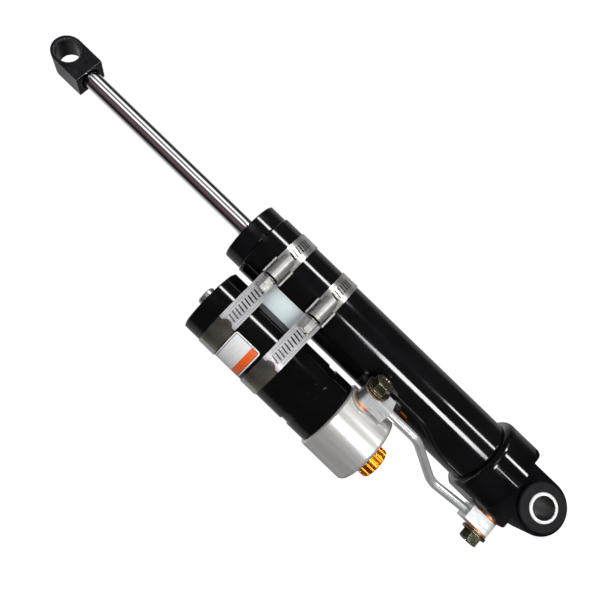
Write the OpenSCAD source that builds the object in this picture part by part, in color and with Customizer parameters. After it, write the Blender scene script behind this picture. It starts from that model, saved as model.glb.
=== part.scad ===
// Gas shock absorber with a side reservoir, in millimetres.
// The origin is the centre of the lower eye. +Z runs up the rod, +Y along the lower
// eye's bore, and the reservoir hangs on the -X side of the tube.

/* [Mounting] */
// Distance between the centres of the two eyes, fully extended
eye_to_eye = 437.5; // [425:0.5:450]
// Bore of the steel sleeve in the lower eye
sleeve_bore_d = 16; // [14:0.1:17]
// Wall of the steel sleeve
sleeve_wall = 2.2; // [1.8:0.1:2.6]
// Length of the steel sleeve
sleeve_length = 34.6; // [33:0.1:38]
// Bore of the rod end
rod_eye_bore_d = 16.5; // [14:0.1:17.5]
// How far the rod end is turned from the lower eye, in degrees
rod_end_turn = 4.5; // [-90:1:90]

/* [Tube] */
// Outside diameter of the damper tube
tube_od = 47.3; // [46:0.1:48]
// Wall of the damper tube
tube_wall = 3.65; // [3:0.05:4.4]
// Height of the tube's top edge above the lower eye
tube_top = 254.6; // [250:0.2:260]
// How far the dust cap's side is set in from the tube's
dust_cap_step = 1.1; // [0.6:0.05:2]
// Height of the dust cap that shows above the tube
dust_cap_height = 13.2; // [9:0.1:16]

/* [Lower end cap] */
// Outside diameter of the lower end cap
end_cap_od = 58.8; // [57:0.1:62]
// Height of the end cap's top edge above the lower eye
end_cap_top = 51.4; // [48:0.2:56]
// Height of the end cap's lower edge on the plain side
end_cap_bottom = 21; // [17:0.1:23]
// Radius round the end cap's top edge
end_cap_round = 5; // [2:0.1:5.2]
// Radius round the end cap's lower edge
end_cap_lower_round = 3.5; // [1:0.1:5]
// Height where the cheeks beside the eye begin
cheek_height = 27.3; // [24:0.1:32]
// Outside diameter of the eye
eye_od = 38; // [36:0.1:39.5]
// Width of the eye between its cheeks
eye_width = 25; // [22:0.1:28]
// Floor of the socket that holds the tube
tube_seat = 34; // [31:0.2:38]
// Distance of the lower port's flat from the axis
lower_port_face = 27.5; // [26.8:0.1:28.6]
// Height of the lower port
lower_port_height = 18.2; // [17:0.1:20]
// Height of the lower edge of the boss that carries the lower port
port_boss_bottom = 10.4; // [8:0.1:11]

/* [Eye bushes] */
// Wall of the bushes
bush_wall = 1.8; // [1.2:0.1:2.4]
// Diameter of the bush flanges
bush_flange_d = 33.6; // [31:0.2:36]
// Thickness of the bush flanges
bush_flange = 3.6; // [2:0.1:4]

/* [Rod] */
// Diameter of the rod
rod_d = 12.7; // [12:0.1:13]
// Stroke of the damper
stroke = 130; // [100:1:132]
// Width of the rod end block
rod_end_width = 22.2; // [21:0.1:24]
// Thickness of the rod end block along its bore
rod_end_thickness = 18.8; // [17:0.1:24]
// Height of the rod end block below the bore's centre
rod_end_drop = 19.7; // [18:0.1:23]
// Diameter of the stud that enters the rod end
rod_stud_d = 10; // [8:0.1:11]
// Diameter of the hollow in the rod end's lower face
rod_hollow_d = 16; // [14:0.1:17]
// Depth of that hollow
rod_hollow = 2.5; // [1:0.1:4]
// Diameter of the rod where the piston sits
rod_spigot_d = 10; // [8:0.1:10.4]

/* [Piston] */
// Height of the piston
piston_height = 14; // [11:0.1:17]
// Number of ports in each ring of the piston
piston_ports = 6; // [4:1:8]
// Diameter of the piston ports
piston_port_d = 3.6; // [2.5:0.1:4]
// Thickness of one shim
shim_t = 0.4; // [0.2:0.05:0.5]
// Number of shims in each stack
shim_count = 4; // [2:1:5]
// Thickness of the plate behind each shim stack
back_plate = 3; // [2:0.1:4]
// Width across flats of the piston nut
piston_nut_af = 17; // [15:0.5:19]
// Height of the piston nut
piston_nut_height = 8.6; // [6:0.1:10]
// Height of the bumper that stops the rod at full extension
bumper_height = 13; // [8:0.1:16]

/* [Seal head] */
// Height of the seal head
seal_head_height = 24.8; // [22:0.1:28]
// Height of the rod bushing in it
rod_bushing_height = 11; // [8:0.1:12]
// Wall of the rod bushing
rod_bushing_wall = 1.5; // [1:0.1:2]
// Thickness of the retaining rings
circlip_t = 1.5; // [1:0.1:1.8]

/* [Reservoir] */
// Outside diameter of the reservoir
res_od = 48; // [46:0.1:50]
// Wall of the reservoir
res_wall = 4; // [3:0.1:4.6]
// Distance from the tube's axis to the reservoir's axis
res_offset = 51.8; // [50.5:0.1:56]
// Height of the reservoir's top edge
res_top = 253.2; // [249:0.2:258]
// Height of the joint between the reservoir and its head
res_bottom = 144.6; // [142:0.2:148]
// Height of the lower edge of the groove round the reservoir
res_groove_z = 159.6; // [157:0.2:166]
// Height of that groove
res_groove_h = 6; // [3:0.1:8]
// Depth of that groove
res_groove_depth = 1; // [0.5:0.1:1.4]
// Diameter of the valve cap
valve_cap_d = 13.2; // [12:0.1:16]
// How far the valve cap stands above the reservoir
valve_cap_proud = 5; // [3:0.1:8]
// Height of the floating piston
float_height = 18; // [15:0.1:22]

/* [Reservoir head] */
// Outside diameter of the reservoir head
head_od = 52.2; // [50:0.1:54]
// Height of the reservoir head
head_height = 35.9; // [35:0.1:40]
// Distance from the head's upper edge down to the upper port
upper_port_drop = 9.6; // [8.6:0.1:12]
// Angle of the upper port, from the line to the tube towards the front
upper_port_angle = 41; // [36:1:46]
// How far the upper port's face stands out of the head
upper_boss_height = 0.5; // [0.5:0.05:1.8]
// Diameter of the boss round the upper port
upper_boss_d = 18.6; // [18:0.1:20]

/* [Adjuster] */
// Diameter of the adjuster knob
knob_d = 22.4; // [20:0.1:26]
// Height of the adjuster knob
knob_height = 10.5; // [8:0.1:12]
// Number of flutes round the knob
knob_flutes = 16; // [12:1:24]
// Distance of the knob's axis from the reservoir's axis
knob_offset = 2.7; // [0:0.1:4]
// Diameter of the adjuster spindle
spindle_d = 8; // [7:0.1:9]
// Travel of the metering needle
needle_travel = 1.25; // [0.8:0.05:1.6]

/* [Oil line] */
// Outside diameter of the pipe
pipe_od = 6.2; // [5:0.1:7.4]
// Wall of the pipe
pipe_wall = 1.2; // [0.8:0.1:1.6]
// Radius of the pipe's bends
pipe_bend = 14; // [12:0.5:18]
// Height where the pipe bends under the upper block
pipe_upper_bend = 93.5; // [90:0.5:98]
// Height where the pipe bends above the lower block
pipe_lower_bend = 63; // [58:0.5:66]
// How far the pipe's lower run leans out from the lower block
pipe_lean = 2.4; // [0:0.1:3]
// Thickness of the banjo blocks along their bolts
block_t = 10.3; // [9:0.1:11.5]
// Width of the banjo blocks
block_width = 14.4; // [13.6:0.1:16]
// Distance from bolt to the pipe end of the upper block
upper_block_reach = 15.7; // [12:0.1:17]
// Distance from bolt to the pipe end of the lower block
lower_block_reach = 14; // [12:0.1:16]
// Diameter of the banjo bolts
banjo_bolt_d = 10; // [9:0.1:10.6]
// Width across flats of the banjo bolts
banjo_bolt_af = 12; // [11:0.5:13]
// Diameter of the flange on the banjo bolts
banjo_flange_d = 17.4; // [16:0.1:18]
// Thickness of the flange on the banjo bolts
banjo_flange = 1.8; // [1:0.1:2.4]
// Height of a banjo bolt's head with its flange
banjo_head = 8.3; // [6:0.1:9]
// Thickness of the copper washers
washer_t = 1.4; // [1:0.1:1.6]

/* [Clamps] */
// Width of the clamp bands
band_width = 13.5; // [11:0.1:14]
// Thickness of the clamp bands
band_t = 0.7; // [0.5:0.05:0.9]
// Height of the middle of the upper clamp
upper_clamp_z = 232.6; // [228:0.2:238]
// Height of the middle of the lower clamp
lower_clamp_z = 195; // [188:0.2:200]
// Distance from one band slot to the next
slot_pitch = 2.8; // [2.4:0.1:3.4]
// Number of open slots beside the housing
open_slots = 7; // [4:1:8]
// Angle round the reservoir where the band's tail ends
tail_angle = 13.6; // [8:0.2:20]
// Length of the screw housing
housing_length = 17.4; // [15:0.2:20]
// Distance of the housing from the tube's axis, towards the reservoir
housing_inset = 0.9; // [0:0.1:2.5]
// Diameter of the clamp screws
clamp_screw_d = 7.4; // [6:0.1:7.8]
// Width across flats of the clamp screw heads
clamp_screw_af = 8; // [7:0.1:8.4]
// Length of the clamp screw heads
clamp_screw_head = 9.9; // [7:0.1:11]
// Height of the saddle spacer between tube and reservoir
spacer_height = 47; // [44:0.2:50]

/* [Label] */
// Height of the blank label
label_height = 21; // [17:0.2:21.4]
// Height of the label's middle
label_z = 214.6; // [212:0.2:216]
// Angle round the reservoir where the label starts
label_start = 11; // [5:0.5:30]
// Angle that the label covers
label_sweep = 100; // [60:1:140]
// Thickness of the label
label_t = 0.2; // [0.1:0.05:0.4]

/* [Fits] */
// Radial clearance of parts that run in each other
run_gap = 0.04; // [0.02:0.01:0.08]
// Clearance of parts that are seated and stay put
seat_gap = 0.05; // [0.02:0.01:0.1]
// Free gap between parts that pass without touching
free_gap = 0.3; // [0.3:0.05:0.5]
// Thickness of the O-rings
o_ring_d = 2; // [1.6:0.1:2.4]

/* [Hidden] */
$fn = 96;

black_paint = [0.03, 0.03, 0.035];
black_plastic = [0.13, 0.13, 0.14];
rubber = [0.07, 0.07, 0.07];
steel = [0.72, 0.72, 0.73];
chrome = [0.85, 0.85, 0.87];
zinc = [0.76, 0.78, 0.8];
silver = [0.8, 0.8, 0.8];
bronze = [0.5, 0.42, 0.25];
copper = [0.8, 0.42, 0.25];
amber = [0.93, 0.55, 0.12];
nylon = [0.87, 0.92, 0.92];
white = [0.95, 0.95, 0.94];
ptfe = [0.35, 0.45, 0.3];

tube_r = tube_od / 2;
bore_r = tube_r - tube_wall;
rod_r = rod_d / 2;
dust_cap_r = tube_r - dust_cap_step;
cap_r = end_cap_od / 2;
eye_r = eye_od / 2;
res_r = res_od / 2;
res_bore_r = res_r - res_wall;
head_r = head_od / 2;
cut = 1;
edge_break = 0.6;
wide_break = 0.8;

// Lower eye
sleeve_r = sleeve_bore_d / 2 + sleeve_wall;
bush_r = sleeve_r + run_gap + bush_wall;
eye_bore_r = bush_r + seat_gap;
bush_gap = 1;
port_drill_r = 3;
lower_port_depth = 16;
lower_port_end = 9;

// Stations along the rod, from the top down
dust_cap_top = tube_top + dust_cap_height;
spigot_depth = 4.6;
seal_circlip_top = tube_top - spigot_depth - seat_gap;
seal_head_top = seal_circlip_top - circlip_t - seat_gap;
seal_head_bottom = seal_head_top - seal_head_height;
bumper_top = seal_head_bottom - free_gap;
rod_shoulder = bumper_top - bumper_height;
plate_bottom = rod_shoulder - back_plate;
shim_stack = shim_count * shim_t;
piston_top = plate_bottom - shim_stack;
piston_bottom = piston_top - piston_height;
lower_plate_top = piston_bottom - shim_stack;
nut_top = lower_plate_top - back_plate;
nut_bottom = nut_top - piston_nut_height;
rod_tip = nut_bottom - 2;
piston_gap = 0.4;
piston_r = bore_r - piston_gap;
band_groove_depth = 1.6;
stack_gap = 0.01;
piston_band_h = 8;

// Rod end
rod_end_bottom = eye_to_eye - rod_end_drop;
rod_seat = rod_end_bottom + rod_hollow;
rod_stud_top = eye_to_eye - rod_eye_bore_d / 2 - 2;

// Pin that locks the dust cap to the tube, half in each of them
lock_pin_d = 4;
lock_pin_angle = -2.6;
lock_pin_sink = 0.3;
lock_pin_floor = bore_r - 2;
lock_pin_length = dust_cap_r - lock_pin_sink - lock_pin_floor;

// Fluid seals
groove_depth = o_ring_d + seat_gap;
groove_h = o_ring_d + 0.5;
cap_o_ring_z = tube_seat + 5;
seal_o_ring_z = seal_head_bottom + seal_head_height * 0.6;
rod_seal_h = 5.4;
rod_seal_wall = 4;
wiper_h = 5;
wiper_wall = 3;
lip = 0.8;

// Reservoir stations
res_cap_h = 10.5;
res_circlip_top = res_top - 3;
res_cap_top = res_circlip_top - circlip_t - seat_gap;
res_cap_bottom = res_cap_top - res_cap_h;
valve_r = 4;
valve_hex_af = 11;
valve_hex_h = 1.2;
valve_stem_top = res_cap_top + 5;
valve_bore_r = 1.6;
head_spigot = 12;
head_o_ring_low = res_bottom + 5;
head_boss_root = 10;
float_rest = 12;
float_bottom = res_bottom + head_spigot + float_rest;
float_skirt = 7;
float_wall = 5;
float_gap = 0.3;
float_o_ring_low = float_bottom + 3.5;
float_band_h = 7;
float_band_low = float_bottom + 8;
float_band_depth = 1.6;
float_band_r = res_bore_r - float_gap - float_band_depth;
float_ratio = pow(rod_r / res_bore_r, 2);
float_travel = stroke * float_ratio;
head_bottom = res_bottom - head_height;
upper_port_height = res_bottom - upper_port_drop;
upper_port_face = head_r + upper_boss_height;
head_chamfer = 1.2;
head_round = 2.8;

// Adjuster stations
knob_x = -res_offset - knob_offset;
knob_top = head_bottom - free_gap;
knob_bottom = knob_top - knob_height;
spindle_r = spindle_d / 2;
needle_chamber_r = 6;
needle_chamber_depth = 12;
needle_chamber_floor = head_bottom + needle_chamber_depth;
spindle_o_ring_low = head_bottom + 4;
spindle_o_ring_d = 1.7;
needle_guide_h = 7;
needle_r = 3;
drive_r = 2.2;
knob_screw_r = 1.5;
knob_screw_head_r = 3.2;
spindle_seat = knob_bottom + 3;
seat_orifice_r = 2.4;
seat_h = 3;
seat_z = upper_port_height + 5;
needle_guide_z = needle_chamber_floor + 0.6;
needle_tip_z = seat_z + 1.6 - needle_travel;
detent_r = 1.5;
detent_track = 8;
detent_pocket = 7;
detent_spring_wall = 0.5;
port_bore_r = 2.5;

// Oil line
upper_dir = [cos(upper_port_angle), -sin(upper_port_angle)];
block_mid = washer_t + block_t / 2;
upper_pipe = [-res_offset + (upper_port_face + block_mid) * upper_dir[0],
    (upper_port_face + block_mid) * upper_dir[1]];
lower_pipe = [-lower_port_face - block_mid, 0];
block_r = block_width / 2;
block_corner = 5;
pipe_r = pipe_od / 2;
pipe_socket = 5;
pipe_top = upper_port_height - upper_block_reach + pipe_socket;
pipe_end = lower_port_height + lower_block_reach - pipe_socket;
bolt_hole_r = banjo_bolt_d / 2;
bolt_waist = 1.2;
washer_r = banjo_flange_d / 2 - 0.8;
bolt_engagement = 12;
bolt_dish_r = banjo_bolt_af * 0.34;
bolt_dish = 0.6;
hex_cone = 28;

// Clamps
band_in = seat_gap;
band_out = band_in + band_t;
slope_x = (res_r - tube_r) / res_offset;
slope_angle = asin(slope_x);
worm_r = clamp_screw_d / 2;
screw_flange_r = clamp_screw_af / cos(30) / 2 + 0.2;
screw_flange = 1.3;
tail_r = tube_r + band_out + band_t;
screw_axis = tail_r + free_gap + screw_flange_r;
housing_wall = 0.8;
housing_bore_r = worm_r + free_gap;
housing_r = housing_bore_r + housing_wall;
housing_lug = 0.75;
housing_lip = 0.5;
lug_height = 1.3;
lug_length = housing_length * 0.73;
housing_base = 0.5;
housing_corner = 3.2;
housing_end = -housing_inset - housing_length;
collar_r = housing_r + 0.2;
collar_t = 2.4;
slot_width = 1;
slot_length = band_width * 0.46;
slot_slant = -9;
tail_slots = 9;
scallop_r = band_width * 0.32;
scallop_out = 1.7;
screw_turn = -16;
weld = 0.1;
run_sag = 0.02;

// Label and spacer
label_r = res_r + seat_gap;
spacer_tube_angle = 47;
spacer_res_angle = 30;

module ring(outer, inner, low, high) {
    difference() {
        translate([0, 0, low]) cylinder(r = outer, h = high - low);
        translate([0, 0, low - cut]) cylinder(r = inner, h = high - low + 2 * cut);
    }
}

module rod_piece(radius, low, high) {
    translate([0, 0, low]) cylinder(r = radius, h = high - low);
}

module chamfered(radius, low, high, chamfer) {
    rotate_extrude() polygon([[0, low], [radius - chamfer, low], [radius, low + chamfer],
        [radius, high - chamfer], [radius - chamfer, high], [0, high]]);
}

module o_ring(radius, z) {
    translate([0, 0, z]) rotate_extrude() translate([radius, 0]) circle(d = o_ring_d, $fn = 32);
}

module groove(outer, depth, low, height) {
    ring(outer + cut, outer - depth, low, low + height);
}

module circlip(outer, low, gap_angle) {
    width = 2.6;
    rotate([0, 0, gap_angle / 2]) rotate_extrude(angle = 360 - gap_angle)
        translate([outer - width, low]) square([width, circlip_t]);
}

module hex(across, low, high) {
    translate([0, 0, low]) cylinder(d = across / cos(30), h = high - low, $fn = 6);
}

// Hexagon head whose outer end is turned off by a cone
module hex_head(across, low, high) {
    corner = across / cos(30) / 2;
    land = across * 0.46;
    fall = (corner + cut - land) * tan(hex_cone);
    intersection() {
        hex(across, low, high);
        rotate_extrude() polygon([[0, low - cut], [corner + cut, low - cut],
            [corner + cut, high - fall], [land, high], [0, high]]);
    }
}

module along_y() {
    rotate([90, 0, 0]) children();
}

module on_reservoir() {
    translate([-res_offset, 0, 0]) children();
}

module on_knob() {
    translate([knob_x, 0, 0]) children();
}

// Puts a piece drawn along +Z on the lower port, pointing out along -X
module on_lower_port() {
    translate([0, 0, lower_port_height]) rotate([0, -90, 0]) children();
}

// Puts a piece drawn along +Z on the upper port, pointing out of the reservoir head
module on_upper_port() {
    on_reservoir() rotate([0, 0, -upper_port_angle]) translate([0, 0, upper_port_height])
        rotate([0, 90, 0]) children();
}

module shock_tube() {
    color(black_paint) difference() {
        chamfered(tube_r, tube_seat + seat_gap, tube_top, edge_break);
        translate([0, 0, tube_seat - cut]) cylinder(r = bore_r, h = tube_top);
        groove(tube_r, groove_depth, cap_o_ring_z - groove_h / 2, groove_h);
        translate([0, 0, seal_circlip_top - circlip_t - seat_gap])
            cylinder(r = bore_r + 1.2, h = circlip_t + 2 * seat_gap);
        lock_pin_hole();
    }
}

module end_cap_profile() {
    inner = cap_r - end_cap_round;
    lower_inner = cap_r - end_cap_lower_round;
    translate([0, end_cap_bottom]) square([inner, end_cap_top - end_cap_bottom]);
    translate([0, end_cap_bottom + end_cap_lower_round])
        square([cap_r, end_cap_top - end_cap_round - end_cap_bottom - end_cap_lower_round]);
    translate([0, end_cap_bottom]) square([lower_inner, 2 * end_cap_lower_round]);
    translate([inner, end_cap_top - end_cap_round]) circle(r = end_cap_round, $fn = 48);
    translate([lower_inner, end_cap_bottom + end_cap_lower_round])
        circle(r = end_cap_lower_round, $fn = 48);
}

module lower_end_cap() {
    cheek = cap_r + cut;
    color(black_paint) difference() {
        union() {
            difference() {
                rotate_extrude() end_cap_profile();
                for (side = [-1, 1])
                    translate([-cheek, side > 0 ? eye_width / 2 : -eye_width / 2 - cheek, 0])
                        cube([2 * cheek, cheek, cheek_height]);
            }
            translate([-eye_r, -eye_width / 2, 0])
                cube([eye_od, eye_width, end_cap_bottom + end_cap_lower_round]);
            along_y() cylinder(r = eye_r, h = eye_width, center = true);
            intersection() {
                rod_piece(cap_r, 0, cheek_height + cut);
                translate([-cap_r, -eye_width / 2, port_boss_bottom])
                    cube([cap_r, eye_width, end_cap_top]);
            }
        }
        translate([-cap_r - cut, -cap_r, 0])
            cube([cap_r + cut - lower_port_face, 2 * cap_r, end_cap_top + cut]);
        translate([0, 0, tube_seat]) cylinder(r = tube_r + seat_gap, h = end_cap_top);
        along_y() cylinder(r = eye_bore_r, h = eye_width + 2 * cut, center = true);
        on_lower_port() translate([0, 0, lower_port_face - lower_port_depth])
            cylinder(r = bolt_hole_r, h = lower_port_depth + cut);
        on_lower_port() translate([0, 0, lower_port_end])
            cylinder(r = port_drill_r, h = lower_port_face - lower_port_end);
        translate([-lower_port_end - port_drill_r, 0, lower_port_height])
            cylinder(r = port_drill_r, h = tube_seat);
    }
}

module end_cap_o_ring() {
    color(rubber) o_ring(tube_r + seat_gap - stack_gap - o_ring_d / 2, cap_o_ring_z);
}

module eye_bush() {
    difference() {
        union() {
            rod_piece(bush_r, bush_gap / 2, eye_width / 2 + cut);
            chamfered(bush_flange_d / 2, eye_width / 2 + seat_gap,
                eye_width / 2 + seat_gap + bush_flange, wide_break);
        }
        cylinder(r = sleeve_r + run_gap, h = sleeve_length);
    }
}

module eye_bush_front() {
    color(black_plastic) along_y() eye_bush();
}

module eye_bush_back() {
    color(black_plastic) mirror([0, 1, 0]) along_y() eye_bush();
}

module eye_sleeve() {
    color(steel) along_y() difference() {
        chamfered(sleeve_r, -sleeve_length / 2, sleeve_length / 2, edge_break);
        cylinder(d = sleeve_bore_d, h = sleeve_length + 2 * cut, center = true);
    }
}

module dust_cap() {
    wiper_r = rod_r + run_gap + wiper_wall;
    color(black_paint) difference() {
        union() {
            chamfered(dust_cap_r, tube_top + seat_gap, dust_cap_top, edge_break);
            rod_piece(bore_r - seat_gap, tube_top - spigot_depth, tube_top + cut);
        }
        rod_piece(rod_r + free_gap, tube_top - spigot_depth - cut, dust_cap_top + cut);
        rod_piece(wiper_r + seat_gap, dust_cap_top - wiper_h, dust_cap_top + cut);
        lock_pin_hole();
    }
}

module lock_pin_place() {
    rotate([0, 0, lock_pin_angle]) translate([0, 0, tube_top]) rotate([90, 0, 0])
        translate([0, 0, lock_pin_floor]) children();
}

module lock_pin_hole() {
    lock_pin_place() cylinder(d = lock_pin_d + 2 * seat_gap, h = tube_r, $fn = 48);
}

module lock_pin() {
    color(steel) lock_pin_place() difference() {
        cylinder(d = lock_pin_d, h = lock_pin_length, $fn = 48);
        hex(lock_pin_d / 2, lock_pin_length - 1.2, lock_pin_length + cut);
    }
}

module rod_wiper() {
    outer = rod_r + run_gap + wiper_wall;
    inner = rod_r + run_gap;
    low = dust_cap_top - wiper_h + seat_gap;
    color(rubber) rotate_extrude() polygon([[inner, low], [outer, low], [outer, dust_cap_top - 1],
        [inner + 1.4, dust_cap_top - 0.6], [inner + lip, dust_cap_top + lip],
        [inner, dust_cap_top + lip]]);
}

module seal_head() {
    color(silver) difference() {
        chamfered(bore_r - seat_gap, seal_head_bottom, seal_head_top, edge_break);
        rod_piece(rod_r + free_gap, seal_head_bottom - cut, seal_head_top + cut);
        rod_piece(rod_r + run_gap + rod_bushing_wall + seat_gap, seal_head_bottom - cut,
            seal_head_bottom + rod_bushing_height + seat_gap);
        rod_piece(rod_r + run_gap + rod_seal_wall + seat_gap,
            seal_head_top - rod_seal_h - seat_gap, seal_head_top + cut);
        groove(bore_r, groove_depth, seal_o_ring_z - groove_h / 2, groove_h);
    }
}

module seal_head_o_ring() {
    color(rubber) o_ring(bore_r - stack_gap - o_ring_d / 2, seal_o_ring_z);
}

module seal_head_circlip() {
    color(steel) circlip(bore_r + 1.1, seal_circlip_top - circlip_t, 24);
}

module rod_bushing() {
    inner = rod_r + run_gap;
    color(bronze) ring(inner + rod_bushing_wall, inner, seal_head_bottom + seat_gap,
        seal_head_bottom + rod_bushing_height);
}

module rod_seal() {
    inner = rod_r + run_gap;
    color(rubber) ring(inner + rod_seal_wall, inner, seal_head_top - rod_seal_h, seal_head_top);
}

module piston_rod() {
    color(chrome) union() {
        rod_piece(rod_r, rod_shoulder, rod_seat - seat_gap);
        rod_piece(rod_stud_d / 2, rod_seat - cut, rod_stud_top);
        rod_piece(rod_spigot_d / 2, rod_tip, rod_shoulder + cut);
    }
}

module rod_end() {
    color(black_paint) rotate([0, 0, rod_end_turn]) difference() {
        union() {
            translate([-rod_end_width / 2, -rod_end_thickness / 2, rod_end_bottom])
                cube([rod_end_width, rod_end_thickness, rod_end_drop]);
            translate([0, 0, eye_to_eye]) along_y()
                cylinder(d = rod_end_width, h = rod_end_thickness, center = true);
        }
        translate([0, 0, eye_to_eye]) along_y()
            cylinder(d = rod_eye_bore_d, h = rod_end_thickness + 2 * cut, center = true);
        translate([0, 0, eye_to_eye]) along_y() rod_eye_chamfers();
        rod_piece(rod_stud_d / 2 + seat_gap, rod_end_bottom, rod_stud_top + seat_gap);
        rod_piece(rod_hollow_d / 2, rod_end_bottom - cut, rod_seat);
    }
}

// Cones that break both edges of the rod end's bore
module rod_eye_chamfers() {
    chamfer = 0.7;
    for (side = [0, 1])
        mirror([0, 0, side]) translate([0, 0, rod_end_thickness / 2 - chamfer])
            cylinder(r1 = rod_eye_bore_d / 2, r2 = rod_eye_bore_d / 2 + 2 * chamfer,
                h = 2 * chamfer);
}

module top_out_bumper() {
    inner = rod_r + seat_gap;
    mid = rod_shoulder + bumper_height / 2;
    color(rubber) rotate_extrude() polygon([[inner, rod_shoulder], [inner + 6.4, rod_shoulder],
        [inner + 6.4, mid - 2.4], [inner + 4.6, mid], [inner + 6.4, mid + 2.4],
        [inner + 4.4, bumper_top], [inner, bumper_top]]);
}

module rebound_plate() {
    color(steel) ring(bore_r * 0.7, rod_spigot_d / 2 + seat_gap, plate_bottom, rod_shoulder);
}

module shim_pack(start, direction) {
    for (i = [0 : shim_count - 1])
        translate([0, 0, start + direction * (i + 0.5) * shim_t])
            ring(bore_r * (0.72 - 0.06 * i), rod_spigot_d / 2 + seat_gap,
                -shim_t / 2 + stack_gap, shim_t / 2 - stack_gap);
}

module rebound_shims() {
    color(steel) shim_pack(piston_top, 1);
}

module compression_shims() {
    color(steel) shim_pack(piston_bottom, -1);
}

module compression_plate() {
    color(steel) ring(bore_r * 0.5, rod_spigot_d / 2 + seat_gap, nut_top, lower_plate_top);
}

module piston() {
    inner_ring = bore_r * 0.45;
    outer_ring = bore_r * 0.66;
    band_z = (piston_top + piston_bottom) / 2;
    color(silver) difference() {
        chamfered(piston_r, piston_bottom + stack_gap, piston_top - stack_gap, wide_break);
        rod_piece(rod_spigot_d / 2 + seat_gap, piston_bottom - cut, piston_top + cut);
        groove(piston_r, band_groove_depth, band_z - piston_band_h / 2, piston_band_h);
        for (i = [0 : piston_ports - 1]) {
            rotate([0, 0, i * 360 / piston_ports]) translate([inner_ring, 0, piston_bottom - cut])
                cylinder(d = piston_port_d, h = piston_height + 2 * cut, $fn = 32);
            rotate([0, 0, (i + 0.5) * 360 / piston_ports])
                translate([outer_ring, 0, piston_bottom - cut])
                    cylinder(d = piston_port_d, h = piston_height + 2 * cut, $fn = 32);
        }
    }
}

module piston_band() {
    band_z = (piston_top + piston_bottom) / 2;
    half = piston_band_h / 2 - 0.1;
    color(ptfe) ring(bore_r - run_gap, piston_r - band_groove_depth + run_gap, band_z - half,
        band_z + half);
}

module piston_nut() {
    color(steel) difference() {
        hex(piston_nut_af, nut_bottom, nut_top - stack_gap);
        rod_piece(rod_spigot_d / 2 + seat_gap, nut_bottom - cut, nut_top + cut);
    }
}

// Flat outline round tube and reservoir, at a distance outside both
module loop_outline(distance) {
    reach = distance - run_sag;
    far = [-res_offset, 0];
    front = [slope_x, -cos(slope_angle)];
    back = [slope_x, cos(slope_angle)];
    circle(r = tube_r + distance);
    on_reservoir() circle(r = res_r + distance);
    polygon([(tube_r + reach) * front, (tube_r + reach) * back,
        far + (res_r + reach) * back, far + (res_r + reach) * front]);
}

// The band's tail lies on the loop, from the housing to just past the reservoir's front
module tail_outline() {
    far = [-res_offset, 0];
    front = [slope_x, -cos(slope_angle)];
    tip = -90 + slope_angle - tail_angle;
    start = -(housing_inset + housing_wall) * [cos(slope_angle), slope_x];
    intersection() {
        difference() {
            loop_outline(band_out + band_t);
            loop_outline(band_out - weld);
        }
        polygon([far, far + 2 * res_r * [cos(tip), sin(tip)], start + 2 * res_r * front, start]);
    }
}

// One slot pointing out along +X from the axis
module band_slot(inner, depth) {
    translate([inner + depth / 2, 0, 0]) rotate([slot_slant, 0, 0])
        cube([depth, slot_width, slot_length], center = true);
}

// Hollow that is punched out of the tail's end, pointing out along +X
module tail_scallop() {
    difference() {
        rotate([0, 90, 0]) cylinder(r = scallop_r, h = res_r + 4 * band_t);
        rod_piece(res_r + band_out - run_sag, -band_width, band_width);
    }
}

// Puts a piece drawn beside the X axis along the band's straight run
module on_run() {
    rotate([0, 0, slope_angle]) children();
}

module clamp_band() {
    front = -90 + slope_angle;
    slot_step = slot_pitch / (tube_r + band_out) * 180 / PI;
    tail_step = slot_pitch / (res_r + band_out) * 180 / PI;
    tip = front - tail_angle - scallop_out / (res_r + band_out) * 180 / PI;
    difference() {
        translate([0, 0, -band_width / 2]) linear_extrude(band_width) {
            difference() {
                loop_outline(band_out);
                loop_outline(band_in);
            }
            tail_outline();
        }
        for (i = [1 : open_slots])
            rotate([0, 0, front + i * slot_step]) band_slot(tube_r - band_t, 3 * band_t);
        on_reservoir() rotate([0, 0, front]) for (i = [0 : tail_slots - 1])
            translate([0, (i + 0.5) * slot_pitch, 0]) band_slot(res_r + band_out, 2 * band_t);
        on_reservoir() rotate([0, 0, front - tail_step / 2])
            band_slot(res_r + band_out, 2 * band_t);
        on_reservoir() rotate([0, 0, tip]) tail_scallop();
    }
}

// Outline of the screw housing seen from the front, with round corners towards the tube
module barrel_outline() {
    inner = housing_r - housing_corner;
    reach = housing_length - housing_corner;
    translate([housing_end, -housing_r]) square([reach, 2 * housing_r]);
    translate([housing_end, -inner]) square([housing_length, 2 * inner]);
    for (side = [-1, 1])
        translate([housing_end + reach, side * inner]) circle(r = housing_corner);
}

module screw_line() {
    translate([housing_end, -screw_axis, 0]) rotate([0, 90, 0]) children();
}

module clamp_housing() {
    half = band_width / 2 + housing_lug;
    lip = band_width / 2 - housing_lip;
    on_run() difference() {
        union() {
            intersection() {
                union() {
                    screw_line() cylinder(r = housing_r, h = housing_length);
                    translate([housing_end, -screw_axis, -housing_r])
                        cube([housing_length, screw_axis - tail_r, 2 * housing_r]);
                }
                along_y() linear_extrude(2 * screw_axis) barrel_outline();
            }
            translate([housing_end, -tail_r - housing_base, -half])
                cube([lug_length, housing_base + 2 * band_t, 2 * half]);
            for (low = [-half, lip])
                translate([housing_end, -tail_r - lug_height, low])
                    cube([lug_length, lug_height, half - lip]);
            screw_line() cylinder(r = collar_r, h = collar_t);
        }
        screw_line() translate([0, 0, -cut])
            cylinder(r = housing_bore_r, h = housing_length - housing_corner + cut);
        translate([housing_end - cut, -tail_r - seat_gap, -band_width / 2 - seat_gap])
            cube([housing_length + 2 * cut, screw_axis, band_width + 2 * seat_gap]);
    }
}

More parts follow.
